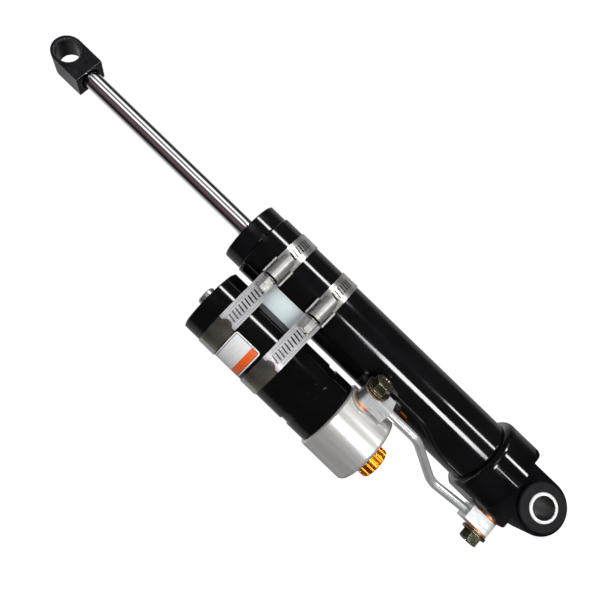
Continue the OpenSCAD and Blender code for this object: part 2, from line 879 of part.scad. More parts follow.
// Worm screw with its head towards the reservoir
module clamp_screw() {
    worm_length = housing_length - housing_corner - free_gap;
    slot_depth = 2;
    on_run() translate([housing_end - free_gap, -screw_axis, 0]) rotate([0, -90, 0])
        rotate([0, 0, screw_turn]) difference() {
            union() {
                rod_piece(worm_r, -worm_length, cut);
                rod_piece(screw_flange_r, 0, screw_flange);
                hex_head(clamp_screw_af, screw_flange - weld, clamp_screw_head);
            }
            translate([-clamp_screw_af, -slot_width / 2, clamp_screw_head - slot_depth])
                cube([2 * clamp_screw_af, slot_width, slot_depth + cut]);
        }
}

module upper_clamp_band() {
    color(steel) translate([0, 0, upper_clamp_z]) clamp_band();
}

module upper_clamp_housing() {
    color(steel) translate([0, 0, upper_clamp_z]) clamp_housing();
}

module upper_clamp_screw() {
    color(steel) translate([0, 0, upper_clamp_z]) clamp_screw();
}

module lower_clamp_band() {
    color(steel) translate([0, 0, lower_clamp_z]) clamp_band();
}

module lower_clamp_housing() {
    color(steel) translate([0, 0, lower_clamp_z]) clamp_housing();
}

module lower_clamp_screw() {
    color(steel) translate([0, 0, lower_clamp_z]) clamp_screw();
}

module saddle_spacer() {
    tube_point = [-tube_r * sin(spacer_tube_angle), -tube_r * cos(spacer_tube_angle)];
    res_point = [-res_offset + res_r * cos(spacer_res_angle), -res_r * sin(spacer_res_angle)];
    middle = (upper_clamp_z + lower_clamp_z) / 2;
    color(nylon) difference() {
        translate([0, 0, middle - spacer_height / 2]) linear_extrude(spacer_height)
            polygon([[0, 0], tube_point, res_point, [-res_offset, 0], [res_point[0], -res_point[1]],
                [tube_point[0], -tube_point[1]]]);
        rod_piece(tube_r + seat_gap, 0, tube_top);
        on_reservoir() rod_piece(res_r + seat_gap, 0, tube_top);
    }
}

module reservoir_tube() {
    color(black_paint) on_reservoir() difference() {
        chamfered(res_r, res_bottom + seat_gap, res_top, wide_break);
        rod_piece(res_bore_r, res_bottom - cut, res_top + cut);
        groove(res_r, res_groove_depth, res_groove_z, res_groove_h);
        rod_piece(res_bore_r + 1.2, res_circlip_top - circlip_t - seat_gap,
            res_circlip_top + seat_gap);
    }
}

module reservoir_cap() {
    color(black_paint) on_reservoir() difference() {
        chamfered(res_bore_r - seat_gap, res_cap_bottom, res_cap_top, edge_break);
        rod_piece(valve_r + seat_gap, res_cap_bottom - cut, res_cap_top + cut);
        groove(res_bore_r, groove_depth, res_cap_bottom + res_cap_h / 2 - groove_h / 2, groove_h);
    }
}

module reservoir_cap_o_ring() {
    color(rubber) on_reservoir()
        o_ring(res_bore_r - stack_gap - o_ring_d / 2, res_cap_bottom + res_cap_h / 2);
}

module reservoir_circlip() {
    color(steel) on_reservoir() circlip(res_bore_r + 1.1, res_circlip_top - circlip_t, 24);
}

module gas_valve() {
    color(bronze) on_reservoir() difference() {
        union() {
            rod_piece(valve_r, res_cap_bottom, valve_stem_top);
            hex(valve_hex_af, res_cap_top, res_cap_top + valve_hex_h);
        }
        rod_piece(valve_bore_r, res_cap_bottom - cut, valve_stem_top + cut);
    }
}

module valve_core() {
    color(steel) on_reservoir() union() {
        rod_piece(valve_bore_r - seat_gap, res_cap_bottom + 2, valve_stem_top - 2);
        rod_piece(valve_bore_r / 2, valve_stem_top - 3, valve_stem_top - 0.4);
    }
}

module valve_cap() {
    color(silver) on_reservoir() difference() {
        chamfered(valve_cap_d / 2, res_cap_top + valve_hex_h + seat_gap,
            res_top + valve_cap_proud, wide_break);
        rod_piece(valve_r + seat_gap, res_cap_top, valve_stem_top + seat_gap);
    }
}

module floating_piston() {
    color(silver) on_reservoir() difference() {
        chamfered(res_bore_r - float_gap, float_bottom, float_bottom + float_height, edge_break);
        rod_piece(res_bore_r - float_wall, float_bottom + float_height - float_skirt,
            float_bottom + float_height + cut);
        groove(res_bore_r - float_gap, groove_depth - float_gap + run_gap, float_o_ring_low,
            groove_h);
        groove(res_bore_r - float_gap, float_band_depth, float_band_low, float_band_h);
    }
}

module floating_piston_o_ring() {
    color(rubber) on_reservoir()
        o_ring(res_bore_r - run_gap - o_ring_d / 2, float_o_ring_low + groove_h / 2);
}

module floating_piston_band() {
    color(ptfe) on_reservoir() ring(res_bore_r - run_gap, float_band_r + seat_gap,
        float_band_low + 2 * seat_gap, float_band_low + float_band_h - 2 * seat_gap);
}

module reservoir_head_profile() {
    inner = head_r - head_round;
    translate([0, head_bottom]) square([inner, head_height - head_chamfer]);
    translate([0, head_bottom + head_round])
        square([head_r, head_height - head_round - head_chamfer]);
    translate([inner, head_bottom + head_round]) circle(r = head_round, $fn = 48);
    polygon([[0, res_bottom - head_chamfer - cut], [head_r, res_bottom - head_chamfer - cut],
        [head_r, res_bottom - head_chamfer], [head_r - head_chamfer, res_bottom],
        [0, res_bottom]]);
}

module reservoir_head() {
    color(silver) difference() {
        union() {
            on_reservoir() rotate_extrude() reservoir_head_profile();
            on_reservoir() rod_piece(res_bore_r - seat_gap, res_bottom - cut,
                res_bottom + head_spigot);
            difference() {
                on_upper_port() translate([0, 0, head_r - head_boss_root])
                    cylinder(d = upper_boss_d, h = upper_boss_height + head_boss_root);
                on_reservoir() rod_piece(res_r + seat_gap, res_bottom, res_top);
            }
        }
        on_reservoir() groove(res_bore_r, groove_depth, head_o_ring_low, groove_h);
        on_knob() rod_piece(needle_chamber_r, needle_chamber_floor, res_bottom + head_spigot + cut);
        on_knob() rod_piece(spindle_r + run_gap, head_bottom - cut, needle_chamber_floor + cut);
        on_knob() ring(spindle_r + run_gap + spindle_o_ring_d + 2 * seat_gap, spindle_r,
            spindle_o_ring_low, spindle_o_ring_low + groove_h);
        on_knob() translate([-detent_track, 0, head_bottom - cut])
            cylinder(r = detent_r + seat_gap, h = detent_pocket + cut, $fn = 32);
        on_upper_port() translate([0, 0, upper_port_face - bolt_engagement])
            cylinder(r = bolt_hole_r, h = bolt_engagement + cut);
        on_upper_port() translate([0, 0, -knob_offset])
            cylinder(r = port_bore_r, h = upper_port_face);
    }
}

module head_o_ring() {
    color(rubber) on_reservoir()
        o_ring(res_bore_r - stack_gap - o_ring_d / 2, head_o_ring_low + groove_h / 2);
}

module needle_seat() {
    color(steel) on_knob() ring(needle_chamber_r - seat_gap, seat_orifice_r, seat_z,
        seat_z + seat_h);
}

module metering_needle() {
    shank = seat_z - 2.4 - needle_travel;
    color(steel) on_knob() difference() {
        union() {
            rod_piece(needle_chamber_r - run_gap, needle_guide_z, needle_guide_z + needle_guide_h);
            rod_piece(needle_r, needle_guide_z, shank);
            translate([0, 0, shank - 0.01])
                cylinder(r1 = needle_r, r2 = 0.8, h = needle_tip_z - shank);
        }
        rod_piece(drive_r + run_gap, needle_guide_z - cut, needle_guide_z + needle_guide_h - 1);
    }
}

module adjuster_spindle() {
    color(steel) on_knob() difference() {
        union() {
            rod_piece(spindle_r, spindle_seat, needle_chamber_floor);
            rod_piece(drive_r, needle_chamber_floor - cut, needle_guide_z + needle_guide_h - 3);
        }
        rod_piece(knob_screw_r + seat_gap, knob_bottom, knob_bottom + 9);
    }
}

module spindle_o_ring() {
    color(rubber) on_knob() translate([0, 0, spindle_o_ring_low + groove_h / 2]) rotate_extrude()
        translate([spindle_r + run_gap + seat_gap + spindle_o_ring_d / 2, 0])
            circle(d = spindle_o_ring_d, $fn = 32);
}

module adjuster_knob() {
    flute_r = knob_d * PI / knob_flutes / 4;
    color(amber) on_knob() difference() {
        chamfered(knob_d / 2, knob_bottom, knob_top, wide_break);
        rod_piece(spindle_r + seat_gap, spindle_seat - seat_gap, knob_top + cut);
        rod_piece(knob_screw_r + 2 * seat_gap, knob_bottom - cut, knob_top);
        translate([0, 0, knob_bottom - stack_gap])
            cylinder(r1 = knob_screw_head_r + 0.2, r2 = knob_screw_r + 2 * seat_gap, h = 1.8);
        for (i = [0 : knob_flutes - 1])
            rotate([0, 0, i * 360 / knob_flutes])
                translate([knob_d / 2 + flute_r * 0.35, 0, knob_bottom - cut])
                    cylinder(r = flute_r, h = knob_height + 2 * cut, $fn = 24);
        for (i = [0 : knob_flutes - 1])
            rotate([0, 0, (i + 0.5) * 360 / knob_flutes])
                translate([detent_track, 0, knob_top + detent_r * 0.72])
                    sphere(r = detent_r, $fn = 32);
    }
}

module knob_screw() {
    color(steel) on_knob() difference() {
        union() {
            translate([0, 0, knob_bottom + 0.1])
                cylinder(r1 = knob_screw_head_r, r2 = knob_screw_r, h = 1.7);
            rod_piece(knob_screw_r, knob_bottom + 1, knob_bottom + 8.6);
        }
        hex(2.5, knob_bottom - cut, knob_bottom + 1.4);
    }
}

module detent_ball() {
    color(steel) on_knob() translate([-detent_track, 0, knob_top + detent_r + 0.1])
        sphere(r = detent_r, $fn = 48);
}

module detent_spring() {
    color(steel) on_knob() translate([-detent_track, 0, 0])
        ring(detent_r - seat_gap, detent_r - seat_gap - detent_spring_wall,
            knob_top + 2 * detent_r + 0.15, head_bottom + detent_pocket - seat_gap);
}

// Banjo bolt along +Z, with its face against the outer washer at the height given
module banjo_bolt(seat) {
    grip = 2 * washer_t + block_t;
    tip = seat - grip - bolt_engagement + 2;
    waist_low = seat - washer_t - block_t / 2 - 2.5;
    difference() {
        union() {
            rod_piece(bolt_hole_r - seat_gap, tip, seat + cut);
            rod_piece(banjo_flange_d / 2, seat, seat + banjo_flange);
            hex_head(banjo_bolt_af, seat + banjo_flange - weld, seat + banjo_head);
        }
        rod_piece(bolt_dish_r, seat + banjo_head - bolt_dish, seat + banjo_head + cut);
        groove(bolt_hole_r, bolt_waist, waist_low, 5);
        rod_piece(2, tip - cut, waist_low + 3.5);
        translate([0, 0, waist_low + 2.5]) rotate([90, 0, 0])
            cylinder(r = 1.5, h = banjo_bolt_d, center = true, $fn = 32);
    }
}

// Banjo block with its bolt along +Z and its pipe leaving along +X
module banjo_block(low, reach) {
    inset = block_r - block_corner;
    translate([0, 0, low]) difference() {
        union() {
            for (side = [-1, 1])
                translate([-inset, side * inset, 0]) cylinder(r = block_corner, h = block_t);
            translate([-inset, -block_r, 0]) cube([reach + inset, block_width, block_t]);
            translate([-block_r, -inset, 0]) cube([block_r, 2 * inset, block_t]);
        }
        translate([0, 0, -cut]) cylinder(r = bolt_hole_r + seat_gap, h = block_t + 2 * cut);
        translate([reach - pipe_socket, 0, block_t / 2]) rotate([0, 90, 0])
            cylinder(r = pipe_r + seat_gap, h = pipe_socket + cut);
        translate([0, 0, block_t / 2]) rotate([0, 90, 0])
            cylinder(r = pipe_r - pipe_wall, h = reach);
    }
}

module banjo_washers(face) {
    for (low = [face, face + washer_t + block_t])
        ring(washer_r, bolt_hole_r + seat_gap, low, low + washer_t);
}

module upper_banjo_bolt() {
    color(bronze) on_upper_port() banjo_bolt(upper_port_face + 2 * washer_t + block_t);
}

module upper_banjo_block() {
    color(zinc) on_upper_port() banjo_block(upper_port_face + washer_t, upper_block_reach);
}

module upper_washers() {
    color(copper) on_upper_port() banjo_washers(upper_port_face);
}

module lower_banjo_bolt() {
    color(bronze) on_lower_port() banjo_bolt(lower_port_face + 2 * washer_t + block_t);
}

module lower_banjo_block() {
    color(zinc) on_lower_port() banjo_block(lower_port_face + washer_t, lower_block_reach);
}

module lower_washers() {
    color(copper) on_lower_port() banjo_washers(lower_port_face);
}

// The pipe is a straight drop, a bend, a slanted run, a second bend, a lower run that leans
// back to the lower block, and its straight end. A station is [distance from the upper drop,
// distance out of the pipe's plane, height, slant].
pipe_knee = lower_pipe - [pipe_lean, 0];
pipe_across = pipe_knee - upper_pipe;
pipe_side = norm(pipe_across);
pipe_drop = pipe_upper_bend - pipe_lower_bend;
pipe_slant = atan2(pipe_side, pipe_drop);
pipe_heading = atan2(pipe_across[1], pipe_across[0]);
pipe_tangent = pipe_bend * tan(pipe_slant / 2);
pipe_foot = [pipe_side + pipe_lean * cos(pipe_heading), -pipe_lean * sin(pipe_heading)];
bend_steps = 6;
pipe_sides = 24;
bend_slants = [for (i = [0 : bend_steps]) pipe_slant * i / bend_steps];
pipe_stations = concat(
    [[0, 0, pipe_top, 0]],
    [for (a = bend_slants) [pipe_bend * (1 - cos(a)), 0,
        pipe_upper_bend + pipe_tangent - pipe_bend * sin(a), a]],
    [for (i = [bend_steps : -1 : 0]) let (a = bend_slants[i]) [
        pipe_side - pipe_bend * (1 - cos(a)), 0,
        pipe_lower_bend - pipe_tangent + pipe_bend * sin(a), a]],
    [[pipe_foot[0], pipe_foot[1], lower_port_height + lower_block_reach + 1, 0],
        [pipe_foot[0], pipe_foot[1], pipe_end, 0]]);

function pipe_ring(station, radius) = [for (k = [0 : pipe_sides - 1])
    let (turn = 360 * k / pipe_sides, across = radius * cos(turn))
    [station[0] + across * cos(station[3]), station[1] + radius * sin(turn),
        station[2] + across * sin(station[3])]];

function flat_list(lists) = [for (one = lists) each one];

// Triangles between ring a and ring b, whose points start at those indices
function ring_walls(a, b) = [for (k = [0 : pipe_sides - 1]) let (n = (k + 1) % pipe_sides)
    each [[a + k, b + k, b + n], [a + k, b + n, a + n]]];

module crossover_pipe() {
    rings = len(pipe_stations);
    inside = rings * pipe_sides;
    last = (rings - 1) * pipe_sides;
    points = concat(flat_list([for (s = pipe_stations) pipe_ring(s, pipe_r)]),
        flat_list([for (s = pipe_stations) pipe_ring(s, pipe_r - pipe_wall)]));
    walls = flat_list([for (i = [0 : rings - 2]) concat(
        ring_walls(i * pipe_sides, (i + 1) * pipe_sides),
        ring_walls(inside + (i + 1) * pipe_sides, inside + i * pipe_sides))]);
    ends = concat(ring_walls(inside, 0), ring_walls(last, inside + last));
    color(zinc) translate([upper_pipe[0], upper_pipe[1], 0]) rotate([0, 0, pipe_heading])
        polyhedron(points, concat(walls, ends));
}

module reservoir_label() {
    color(white) on_reservoir() translate([0, 0, label_z - label_height / 2])
        rotate([0, 0, -90 - label_start - label_sweep]) rotate_extrude(angle = label_sweep)
            translate([label_r, 0]) square([label_t, label_height]);
}

shock_tube();
lower_end_cap();
end_cap_o_ring();
eye_bush_front();
eye_bush_back();
eye_sleeve();
dust_cap();
lock_pin();
rod_wiper();
seal_head();
seal_head_o_ring();
seal_head_circlip();
rod_bushing();
rod_seal();
piston_rod();
rod_end();
top_out_bumper();
rebound_plate();
rebound_shims();
piston();
piston_band();
compression_shims();
compression_plate();
piston_nut();
upper_clamp_band();
upper_clamp_housing();
upper_clamp_screw();
lower_clamp_band();
lower_clamp_housing();
lower_clamp_screw();
saddle_spacer();
reservoir_tube();
reservoir_cap();
reservoir_cap_o_ring();
reservoir_circlip();
gas_valve();
valve_core();
valve_cap();
floating_piston();
floating_piston_o_ring();
floating_piston_band();
reservoir_head();
head_o_ring();
adjuster_knob();
knob_screw();
adjuster_spindle();
spindle_o_ring();
metering_needle();
needle_seat();
detent_ball();
detent_spring();
upper_banjo_bolt();
upper_banjo_block();
upper_washers();
lower_banjo_bolt();
lower_banjo_block();
lower_washers();
crossover_pipe();
reservoir_label();
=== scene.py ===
import math

import bmesh
import bpy
from bpy.props import FloatProperty, FloatVectorProperty, PointerProperty
from mathutils import Matrix, Vector


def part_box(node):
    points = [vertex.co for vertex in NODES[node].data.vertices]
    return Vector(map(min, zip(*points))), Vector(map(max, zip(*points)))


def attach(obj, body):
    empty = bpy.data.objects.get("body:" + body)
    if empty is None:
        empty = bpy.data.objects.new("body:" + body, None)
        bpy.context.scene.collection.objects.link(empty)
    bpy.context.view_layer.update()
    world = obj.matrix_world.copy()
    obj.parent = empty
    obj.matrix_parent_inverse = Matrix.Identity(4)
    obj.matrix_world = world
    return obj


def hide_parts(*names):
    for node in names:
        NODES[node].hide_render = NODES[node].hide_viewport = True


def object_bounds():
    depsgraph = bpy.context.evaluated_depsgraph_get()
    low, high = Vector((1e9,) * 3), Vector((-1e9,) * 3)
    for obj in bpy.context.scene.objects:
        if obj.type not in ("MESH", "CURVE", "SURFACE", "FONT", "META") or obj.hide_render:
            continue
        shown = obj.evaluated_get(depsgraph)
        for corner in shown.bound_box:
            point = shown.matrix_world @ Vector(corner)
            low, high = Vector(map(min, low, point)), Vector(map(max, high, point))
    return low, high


bl_info = {
    "name": "Gas Shock Absorber",
    "version": (1, 0, 0),
    "blender": (4, 5, 0),
    "location": "View3D > Sidebar > Shock",
    "description": "Finishes, fittings and studio for a gas shock absorber with a side reservoir",
    "category": "Object",
}

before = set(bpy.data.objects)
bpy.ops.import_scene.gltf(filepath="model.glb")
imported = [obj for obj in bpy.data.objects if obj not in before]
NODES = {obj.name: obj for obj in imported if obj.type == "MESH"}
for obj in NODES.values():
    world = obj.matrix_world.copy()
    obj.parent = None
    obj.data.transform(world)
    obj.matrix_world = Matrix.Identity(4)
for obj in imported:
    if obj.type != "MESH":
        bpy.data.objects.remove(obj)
CAD_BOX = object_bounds()

# Places are in metres in the part's frame. A pair holds the two ends of a mask's soft edge.
RESERVOIR_X = -0.0518
HEAD_CENTRE = (RESERVOIR_X, 0.0, 0.12)
KNOB_CENTRE = (-0.0545, 0.0, 0.103)
SPACER_CENTRE = (-0.026, 0.0, 0.21)
ROD_EYE_CENTRE = (0.0, 0.0, 0.4375)
BLOCKS_APART = (0.05, 0.06)

# How far in from each end of the sleeve its bore's painted shade begins
SLEEVE_END = (0.0004, 0.0011)

# How far up a face points, from 0 for an upright face to 1 for a level one, for the painted dark
# reflection on the upper banjo block's crown
CROWN_REFLECTION_FACING = (0.03, 0.5)

# Clamps. The tail's, the slots' and the dark bend's places are from the reservoir's axis and the
# band's mid height, the tube's from the tube's axis, and those of the painted shade at the
# housing's mouth and the screw's neck from the end of the housing. RUN_SLOPE is how much nearer
# to the axis each metre of straight band comes.
RUN_SLOPE = 0.00676
TAIL_START = (-0.0026, -0.0024)
TAIL_STOP = (0.034, 0.035)
TAIL_SIDE = (-0.001, 0.0)
TAIL_FACE = (0.02536, 0.02540)
TAIL_SLOT_FACE = (0.02534, 0.02538)
TUBE_BAND_FACE = (0.02434, 0.02437)
TUBE_SIDE = (0.0, 0.001)
SLOT_EDGE = (0.0033, 0.0034)
# Where the slots' painted shade runs from dark by the housing to lighter towards the tail's end
SLOT_SHADE_FADE = (0.002, 0.016)
# Where the band's front left of the tail is painted darker: partly stain, partly a painted dark
# reflection
DARK_BEND_START = (-0.0230, -0.0222)
DARK_BEND_STOP = (-0.0036, -0.0026)
DARK_BEND_SIDE = (-0.004, 0.0)
HOUSING_MOUTH = (0.0003, 0.0005)
SCREW_NECK = (-0.0012, -0.0010)
# Colour of the painted shade at the housings' mouths, in their gaps and at the screws' necks
PAINTED_SHADE = (0.010, 0.009, 0.008)

# Label
LABEL_RADIUS = 0.02405
LABEL_THICKNESS = 0.0002
LABEL_START = math.radians(11.0)
LABEL_SWEEP = math.radians(100.0)
LABEL_STEPS = 60
RULE_INSET = 0.0009
RULE_WIDTH = 0.00042

# The middle of a noise's values, where its pattern runs from one end to the other
USUAL = (0.3, 0.7)
EDGE_SAMPLES = 6


def colour(name, text, default):
    return FloatVectorProperty(name=name, description=text, default=default, subtype="COLOR",
                               size=3, min=0.0, max=1.0)


def length(name, text, default, low=0.0, high=5.0):
    return FloatProperty(name=name, description=text, default=default, min=low, max=high,
                         unit="LENGTH", subtype="DISTANCE", precision=5)


def share(name, text, default, low=0.0, high=1.0):
    return FloatProperty(name=name, description=text, default=default, min=low, max=high)


def turn(name, text, default):
    return FloatProperty(name=name, description=text, default=math.radians(default),
                         subtype="ANGLE", unit="ROTATION")


class ShockFinishes(bpy.types.PropertyGroup):
    """Colours and gloss of the shock's finishes"""
    paint: colour("Gloss Black", "Paint of the tube, caps and reservoir",
                  (0.0030, 0.0027, 0.0033))
    paint_gloss: share("Paint Roughness", "Roughness of the gloss black paint", 0.09)
    cast_paint: colour("Cast Black", "Paint of the rod's eye block", (0.0050, 0.0052, 0.0066))
    bush: colour("Bush", "Charcoal plastic of the eye bushes", (0.0075, 0.0072, 0.0095))
    chrome: colour("Rod Chrome", "Hard chrome of the piston rod", (0.80, 0.78, 0.79))
    aluminium: colour("Turned Aluminium", "Satin metal of the reservoir head",
                      (0.70, 0.684, 0.662))
    stainless: colour("Clamp Steel", "Bright stainless of the band clamps", (0.62, 0.60, 0.575))
    knob: colour("Orange Anodising", "Anodised metal of the adjuster knob",
                 (0.93, 0.235, 0.010))
    zinc: colour("Bright Zinc", "Plating of the oil line's blocks and pipe",
                 (0.80, 0.82, 0.83))
    olive: colour("Olive Zinc", "Plating of the banjo bolts", (0.112, 0.101, 0.060))
    copper: colour("Copper", "Metal of the sealing washers", (0.95, 0.33, 0.12))
    spacer: colour("Spacer", "Translucent plastic of the saddle spacer", (0.60, 0.69, 0.71))
    label: colour("Label White", "Ground of the reservoir's label", (0.80, 0.80, 0.81))
    label_corner: length("Label Corner", "Radius of the label's corners", 0.002, 0.0005, 0.005)
    strip_height: length("Strip Height", "Top of the strip above the label's edge", 0.0066,
                         0.003, 0.012)
    strip: colour("Label Strip", "Orange strip along the label's lower edge",
                  (0.90, 0.13, 0.015))


class ShockStudio(bpy.types.PropertyGroup):
    """Camera and lamps of the studio"""
    lens: FloatProperty(name="Lens", description="Focal length on a 36 mm sensor", default=36.6,
                        min=10.0, max=300.0)
    camera_place: FloatVectorProperty(name="Camera Place", description="Where the camera stands",
                                      default=(-0.0889, -0.4071, 0.2099), subtype="XYZ", size=3)
    camera_yaw: turn("Camera Yaw", "Turn of the camera about the shock's axis", 11.0)
    camera_roll: turn("Camera Roll", "Roll of the camera about its own view", 46.0)
    lamp_distance: length("Lamp Distance", "How far the lamps stand from the shock", 1.2)
    lamp_level: share("Lamp Level", "Radiance of the strip lamps", 18.0, 0.0, 200.0)
    fill_level: share("Fill Level", "Radiance of the wide soft lamp", 0.8, 0.0, 20.0)
    room_level: share("Room Level", "Brightness of the room in front of the shock", 0.05)
    back_level: share("Back Level", "Brightness of the room behind the shock", 0.34)


# Shading

class Shading:
    """Short names for the nodes of one shader tree"""

    def __init__(self, tree):
        self.tree = tree

    def node(self, kind, **values):
        made = self.tree.nodes.new(kind)
        for key, value in values.items():
            setattr(made, key, value)
        return made

    def link(self, source, target):
        self.tree.links.new(source, target)

    def feed(self, side, socket):
        """Gives a socket a number, a colour or another node's output"""
        if isinstance(side, tuple):
            socket.default_value = (*side, 1.0)
        elif isinstance(side, (int, float)):
            socket.default_value = side
        else:
            self.link(side, socket)

    def math(self, operation, *sides):
        made = self.node("ShaderNodeMath", operation=operation)
        for side, socket in zip(sides, made.inputs):
            self.feed(side, socket)
        return made.outputs["Value"]

    def product(self, first, *others):
        for other in others:
            first = self.math("MULTIPLY", first, other)
        return first

    def distance(self, x, y):
        """Length of the step (x, y)"""
        squares = self.math("ADD", self.product(x, x), self.product(y, y))
        return self.math("SQRT", squares)

    def remap(self, value, low, high, to_low, to_high, smooth=False):
        made = self.node("ShaderNodeMapRange")
        if smooth:
            made.interpolation_type = "SMOOTHSTEP"
        for key, number in (("From Min", low), ("From Max", high), ("To Min", to_low),
                            ("To Max", to_high)):
            made.inputs[key].default_value = number
        self.link(value, made.inputs["Value"])
        return made.outputs["Result"]

    def rise(self, value, low, high, smooth=False):
        """0 below low, 1 above high"""
        return self.remap(value, low, high, 0.0, 1.0, smooth)

    def fall(self, value, low, high, smooth=False):
        """1 below low, 0 above high"""
        return self.remap(value, low, high, 1.0, 0.0, smooth)

    def mix(self, factor, first, second):
        """Colour mix: each side is a colour or another mix"""
        made = self.node("ShaderNodeMix", data_type="RGBA")
        self.link(factor, made.inputs["Factor"])
        self.feed(first, made.inputs["A"])
        self.feed(second, made.inputs["B"])
        return made.outputs["Result"]

    def split(self, vector):
        made = self.node("ShaderNodeSeparateXYZ")
        self.link(vector, made.inputs["Vector"])
        return made.outputs


class Finish(Shading):
    """One material with its pattern on object coordinates"""

    def __init__(self, name, base, metallic=0.0, roughness=0.4, centre=(0.0, 0.0, 0.0)):
        self.material = bpy.data.materials.new(name)
        self.material.use_nodes = True
        super().__init__(self.material.node_tree)
        self.shader = self.tree.nodes["Principled BSDF"]
        self.set("Base Color", (*base, 1.0))
        self.set("Metallic", metallic)
        self.set("Roughness", roughness)
        self.normal = None
        place = self.node("ShaderNodeTexCoord")
        centred = self.node("ShaderNodeMapping")
        centred.inputs["Location"].default_value = [-c for c in centre]
        self.link(place.outputs["Object"], centred.inputs["Vector"])
        self.place = centred.outputs["Vector"]

    def set(self, socket, value):
        self.shader.inputs[socket].default_value = value
        return self

    def paint(self, socket, source):
        self.link(source, self.shader.inputs[socket])
        return self

    def noise(self, scale, detail=2.0, rough=0.5):
        """Soft noise with its own scale along X, Y and Z, in features per metre"""
        stretched = self.node("ShaderNodeMapping")
        stretched.inputs["Scale"].default_value = scale
        self.link(self.place, stretched.inputs["Vector"])
        made = self.node("ShaderNodeTexNoise")
        for key, number in (("Scale", 1.0), ("Detail", detail), ("Roughness", rough)):
            made.inputs[key].default_value = number
        self.link(stretched.outputs["Vector"], made.inputs["Vector"])
        return made.outputs["Fac"]

    def even_noise(self, scale, detail=2.0, rough=0.5):
        return self.noise((scale, scale, scale), detail, rough)

    def axes(self):
        return self.split(self.place)

    def mottle(self, pattern, low, high, dark, light):
        """Colour that runs from dark to light where the pattern runs from low to high"""
        return self.mix(self.rise(pattern, low, high), dark, light)

    def tint(self, pattern, low, high, dark, light):
        return self.paint("Base Color", self.mottle(pattern, low, high, dark, light))

    def gloss(self, pattern, low, high, smooth, rough):
        return self.paint("Roughness", self.remap(pattern, low, high, smooth, rough))

    def bevel_normal(self, radius):
        made = self.node("ShaderNodeBevel", samples=EDGE_SAMPLES)
        made.inputs["Radius"].default_value = radius
        return made.outputs["Normal"]

    def soft_edges(self, radius):
        """Shades edges as if broken by this radius"""
        self.normal = self.bevel_normal(radius)
        return self.paint("Normal", self.normal)

    def edge_wear_and_highlight(self, radius, low=0.015, high=0.12):
        """1 along edges sharper than this radius, 0 on open faces: the mask for edge wear and
        painted edge highlights
        """
        plain = self.node("ShaderNodeNewGeometry")
        dot = self.node("ShaderNodeVectorMath", operation="DOT_PRODUCT")
        self.link(self.bevel_normal(radius), dot.inputs[0])
        self.link(plain.outputs["Normal"], dot.inputs[1])
        return self.fall(dot.outputs["Value"], 1.0 - high, 1.0 - low)

    def corner_shade(self, distance, low=0.35, high=0.8):
        """1 deep in corners and gaps, 0 on open faces: the mask for painted shade"""
        shade = self.node("ShaderNodeAmbientOcclusion", samples=EDGE_SAMPLES, only_local=False)
        shade.inputs["Distance"].default_value = distance
        return self.fall(shade.outputs["AO"], low, high)

    def bump(self, height, distance, strength):
        made = self.node("ShaderNodeBump")
        made.inputs["Distance"].default_value = distance
        made.inputs["Strength"].default_value = strength
        self.link(height, made.inputs["Height"])
        if self.normal is not None:
            self.link(self.normal, made.inputs["Normal"])
        self.normal = made.outputs["Normal"]
        return self.paint("Normal", self.normal)


def shaded(base, factor):
    return tuple(min(1.0, c * factor) for c in base)


def put(finish, *names):
    """Gives CAD nodes the finish"""
    for name in names:
        node = NODES[name]
        node.data.materials.clear()
        node.data.materials.append(finish.material)


def solid_piece(name, bm, *finishes):
    """A piece of the object from a bmesh, with its finishes in the order of its slots"""
    mesh = bpy.data.meshes.new(name)
    bm.to_mesh(mesh)
    bm.free()
    for finish in finishes:
        mesh.materials.append(finish.material)
    piece = bpy.data.objects.new(name, mesh)
    bpy.context.scene.collection.objects.link(piece)
    return piece


# Finishes of the CAD nodes

class SHOCK_OT_black_parts(bpy.types.Operator):
    """Paints the tube, the caps and the reservoir gloss black"""
    bl_idname = "shock.black_parts"
    bl_label = "Gloss Black Parts"

    def execute(self, context):
        finishes = context.scene.shock_finishes
        self.gloss_paint(finishes.paint[:], finishes.paint_gloss)
        pin = Finish("black_oxide", (0.02, 0.02, 0.022), 1.0, 0.35)
        grime = pin.even_noise(900.0, 3.0)
        pin.tint(grime, *USUAL, (0.012, 0.012, 0.013), (0.05, 0.048, 0.05))
        pin.gloss(grime, *USUAL, 0.25, 0.5)
        put(pin, "lock_pin", "reservoir_circlip", "seal_head_circlip")
        return {"FINISHED"}

    def gloss_paint(self, base, roughness):
        """Thick gloss paint: faint orange peel, dust and handling marks"""
        paint = Finish("gloss_black_paint", base, 0.0, roughness, (0.0, 0.0, 0.1))
        paint.set("IOR", 1.5)
        paint.soft_edges(0.0003)
        cloud = paint.noise((60.0, 60.0, 34.0), 3.0)
        dust = paint.even_noise(1900.0, 1.0)
        specks = paint.remap(dust, 0.74, 0.80, 0.0, 0.35)
        ground = paint.mottle(cloud, 0.35, 0.7, shaded(base, 0.8), shaded(base, 1.5))
        paint.paint("Base Color", paint.mix(specks, ground, (0.05, 0.05, 0.052)))
        paint.gloss(cloud, 0.3, 0.75, roughness * 0.7, roughness * 1.5)
        peel = paint.even_noise(420.0, 1.0)
        paint.bump(peel, 0.00002, 0.35)
        scuffs = paint.noise((2600.0, 2600.0, 240.0), 2.0, 0.6)
        paint.bump(scuffs, 0.000004, 0.4)
        put(paint, "shock_tube", "lower_end_cap", "dust_cap", "reservoir_tube", "reservoir_cap")


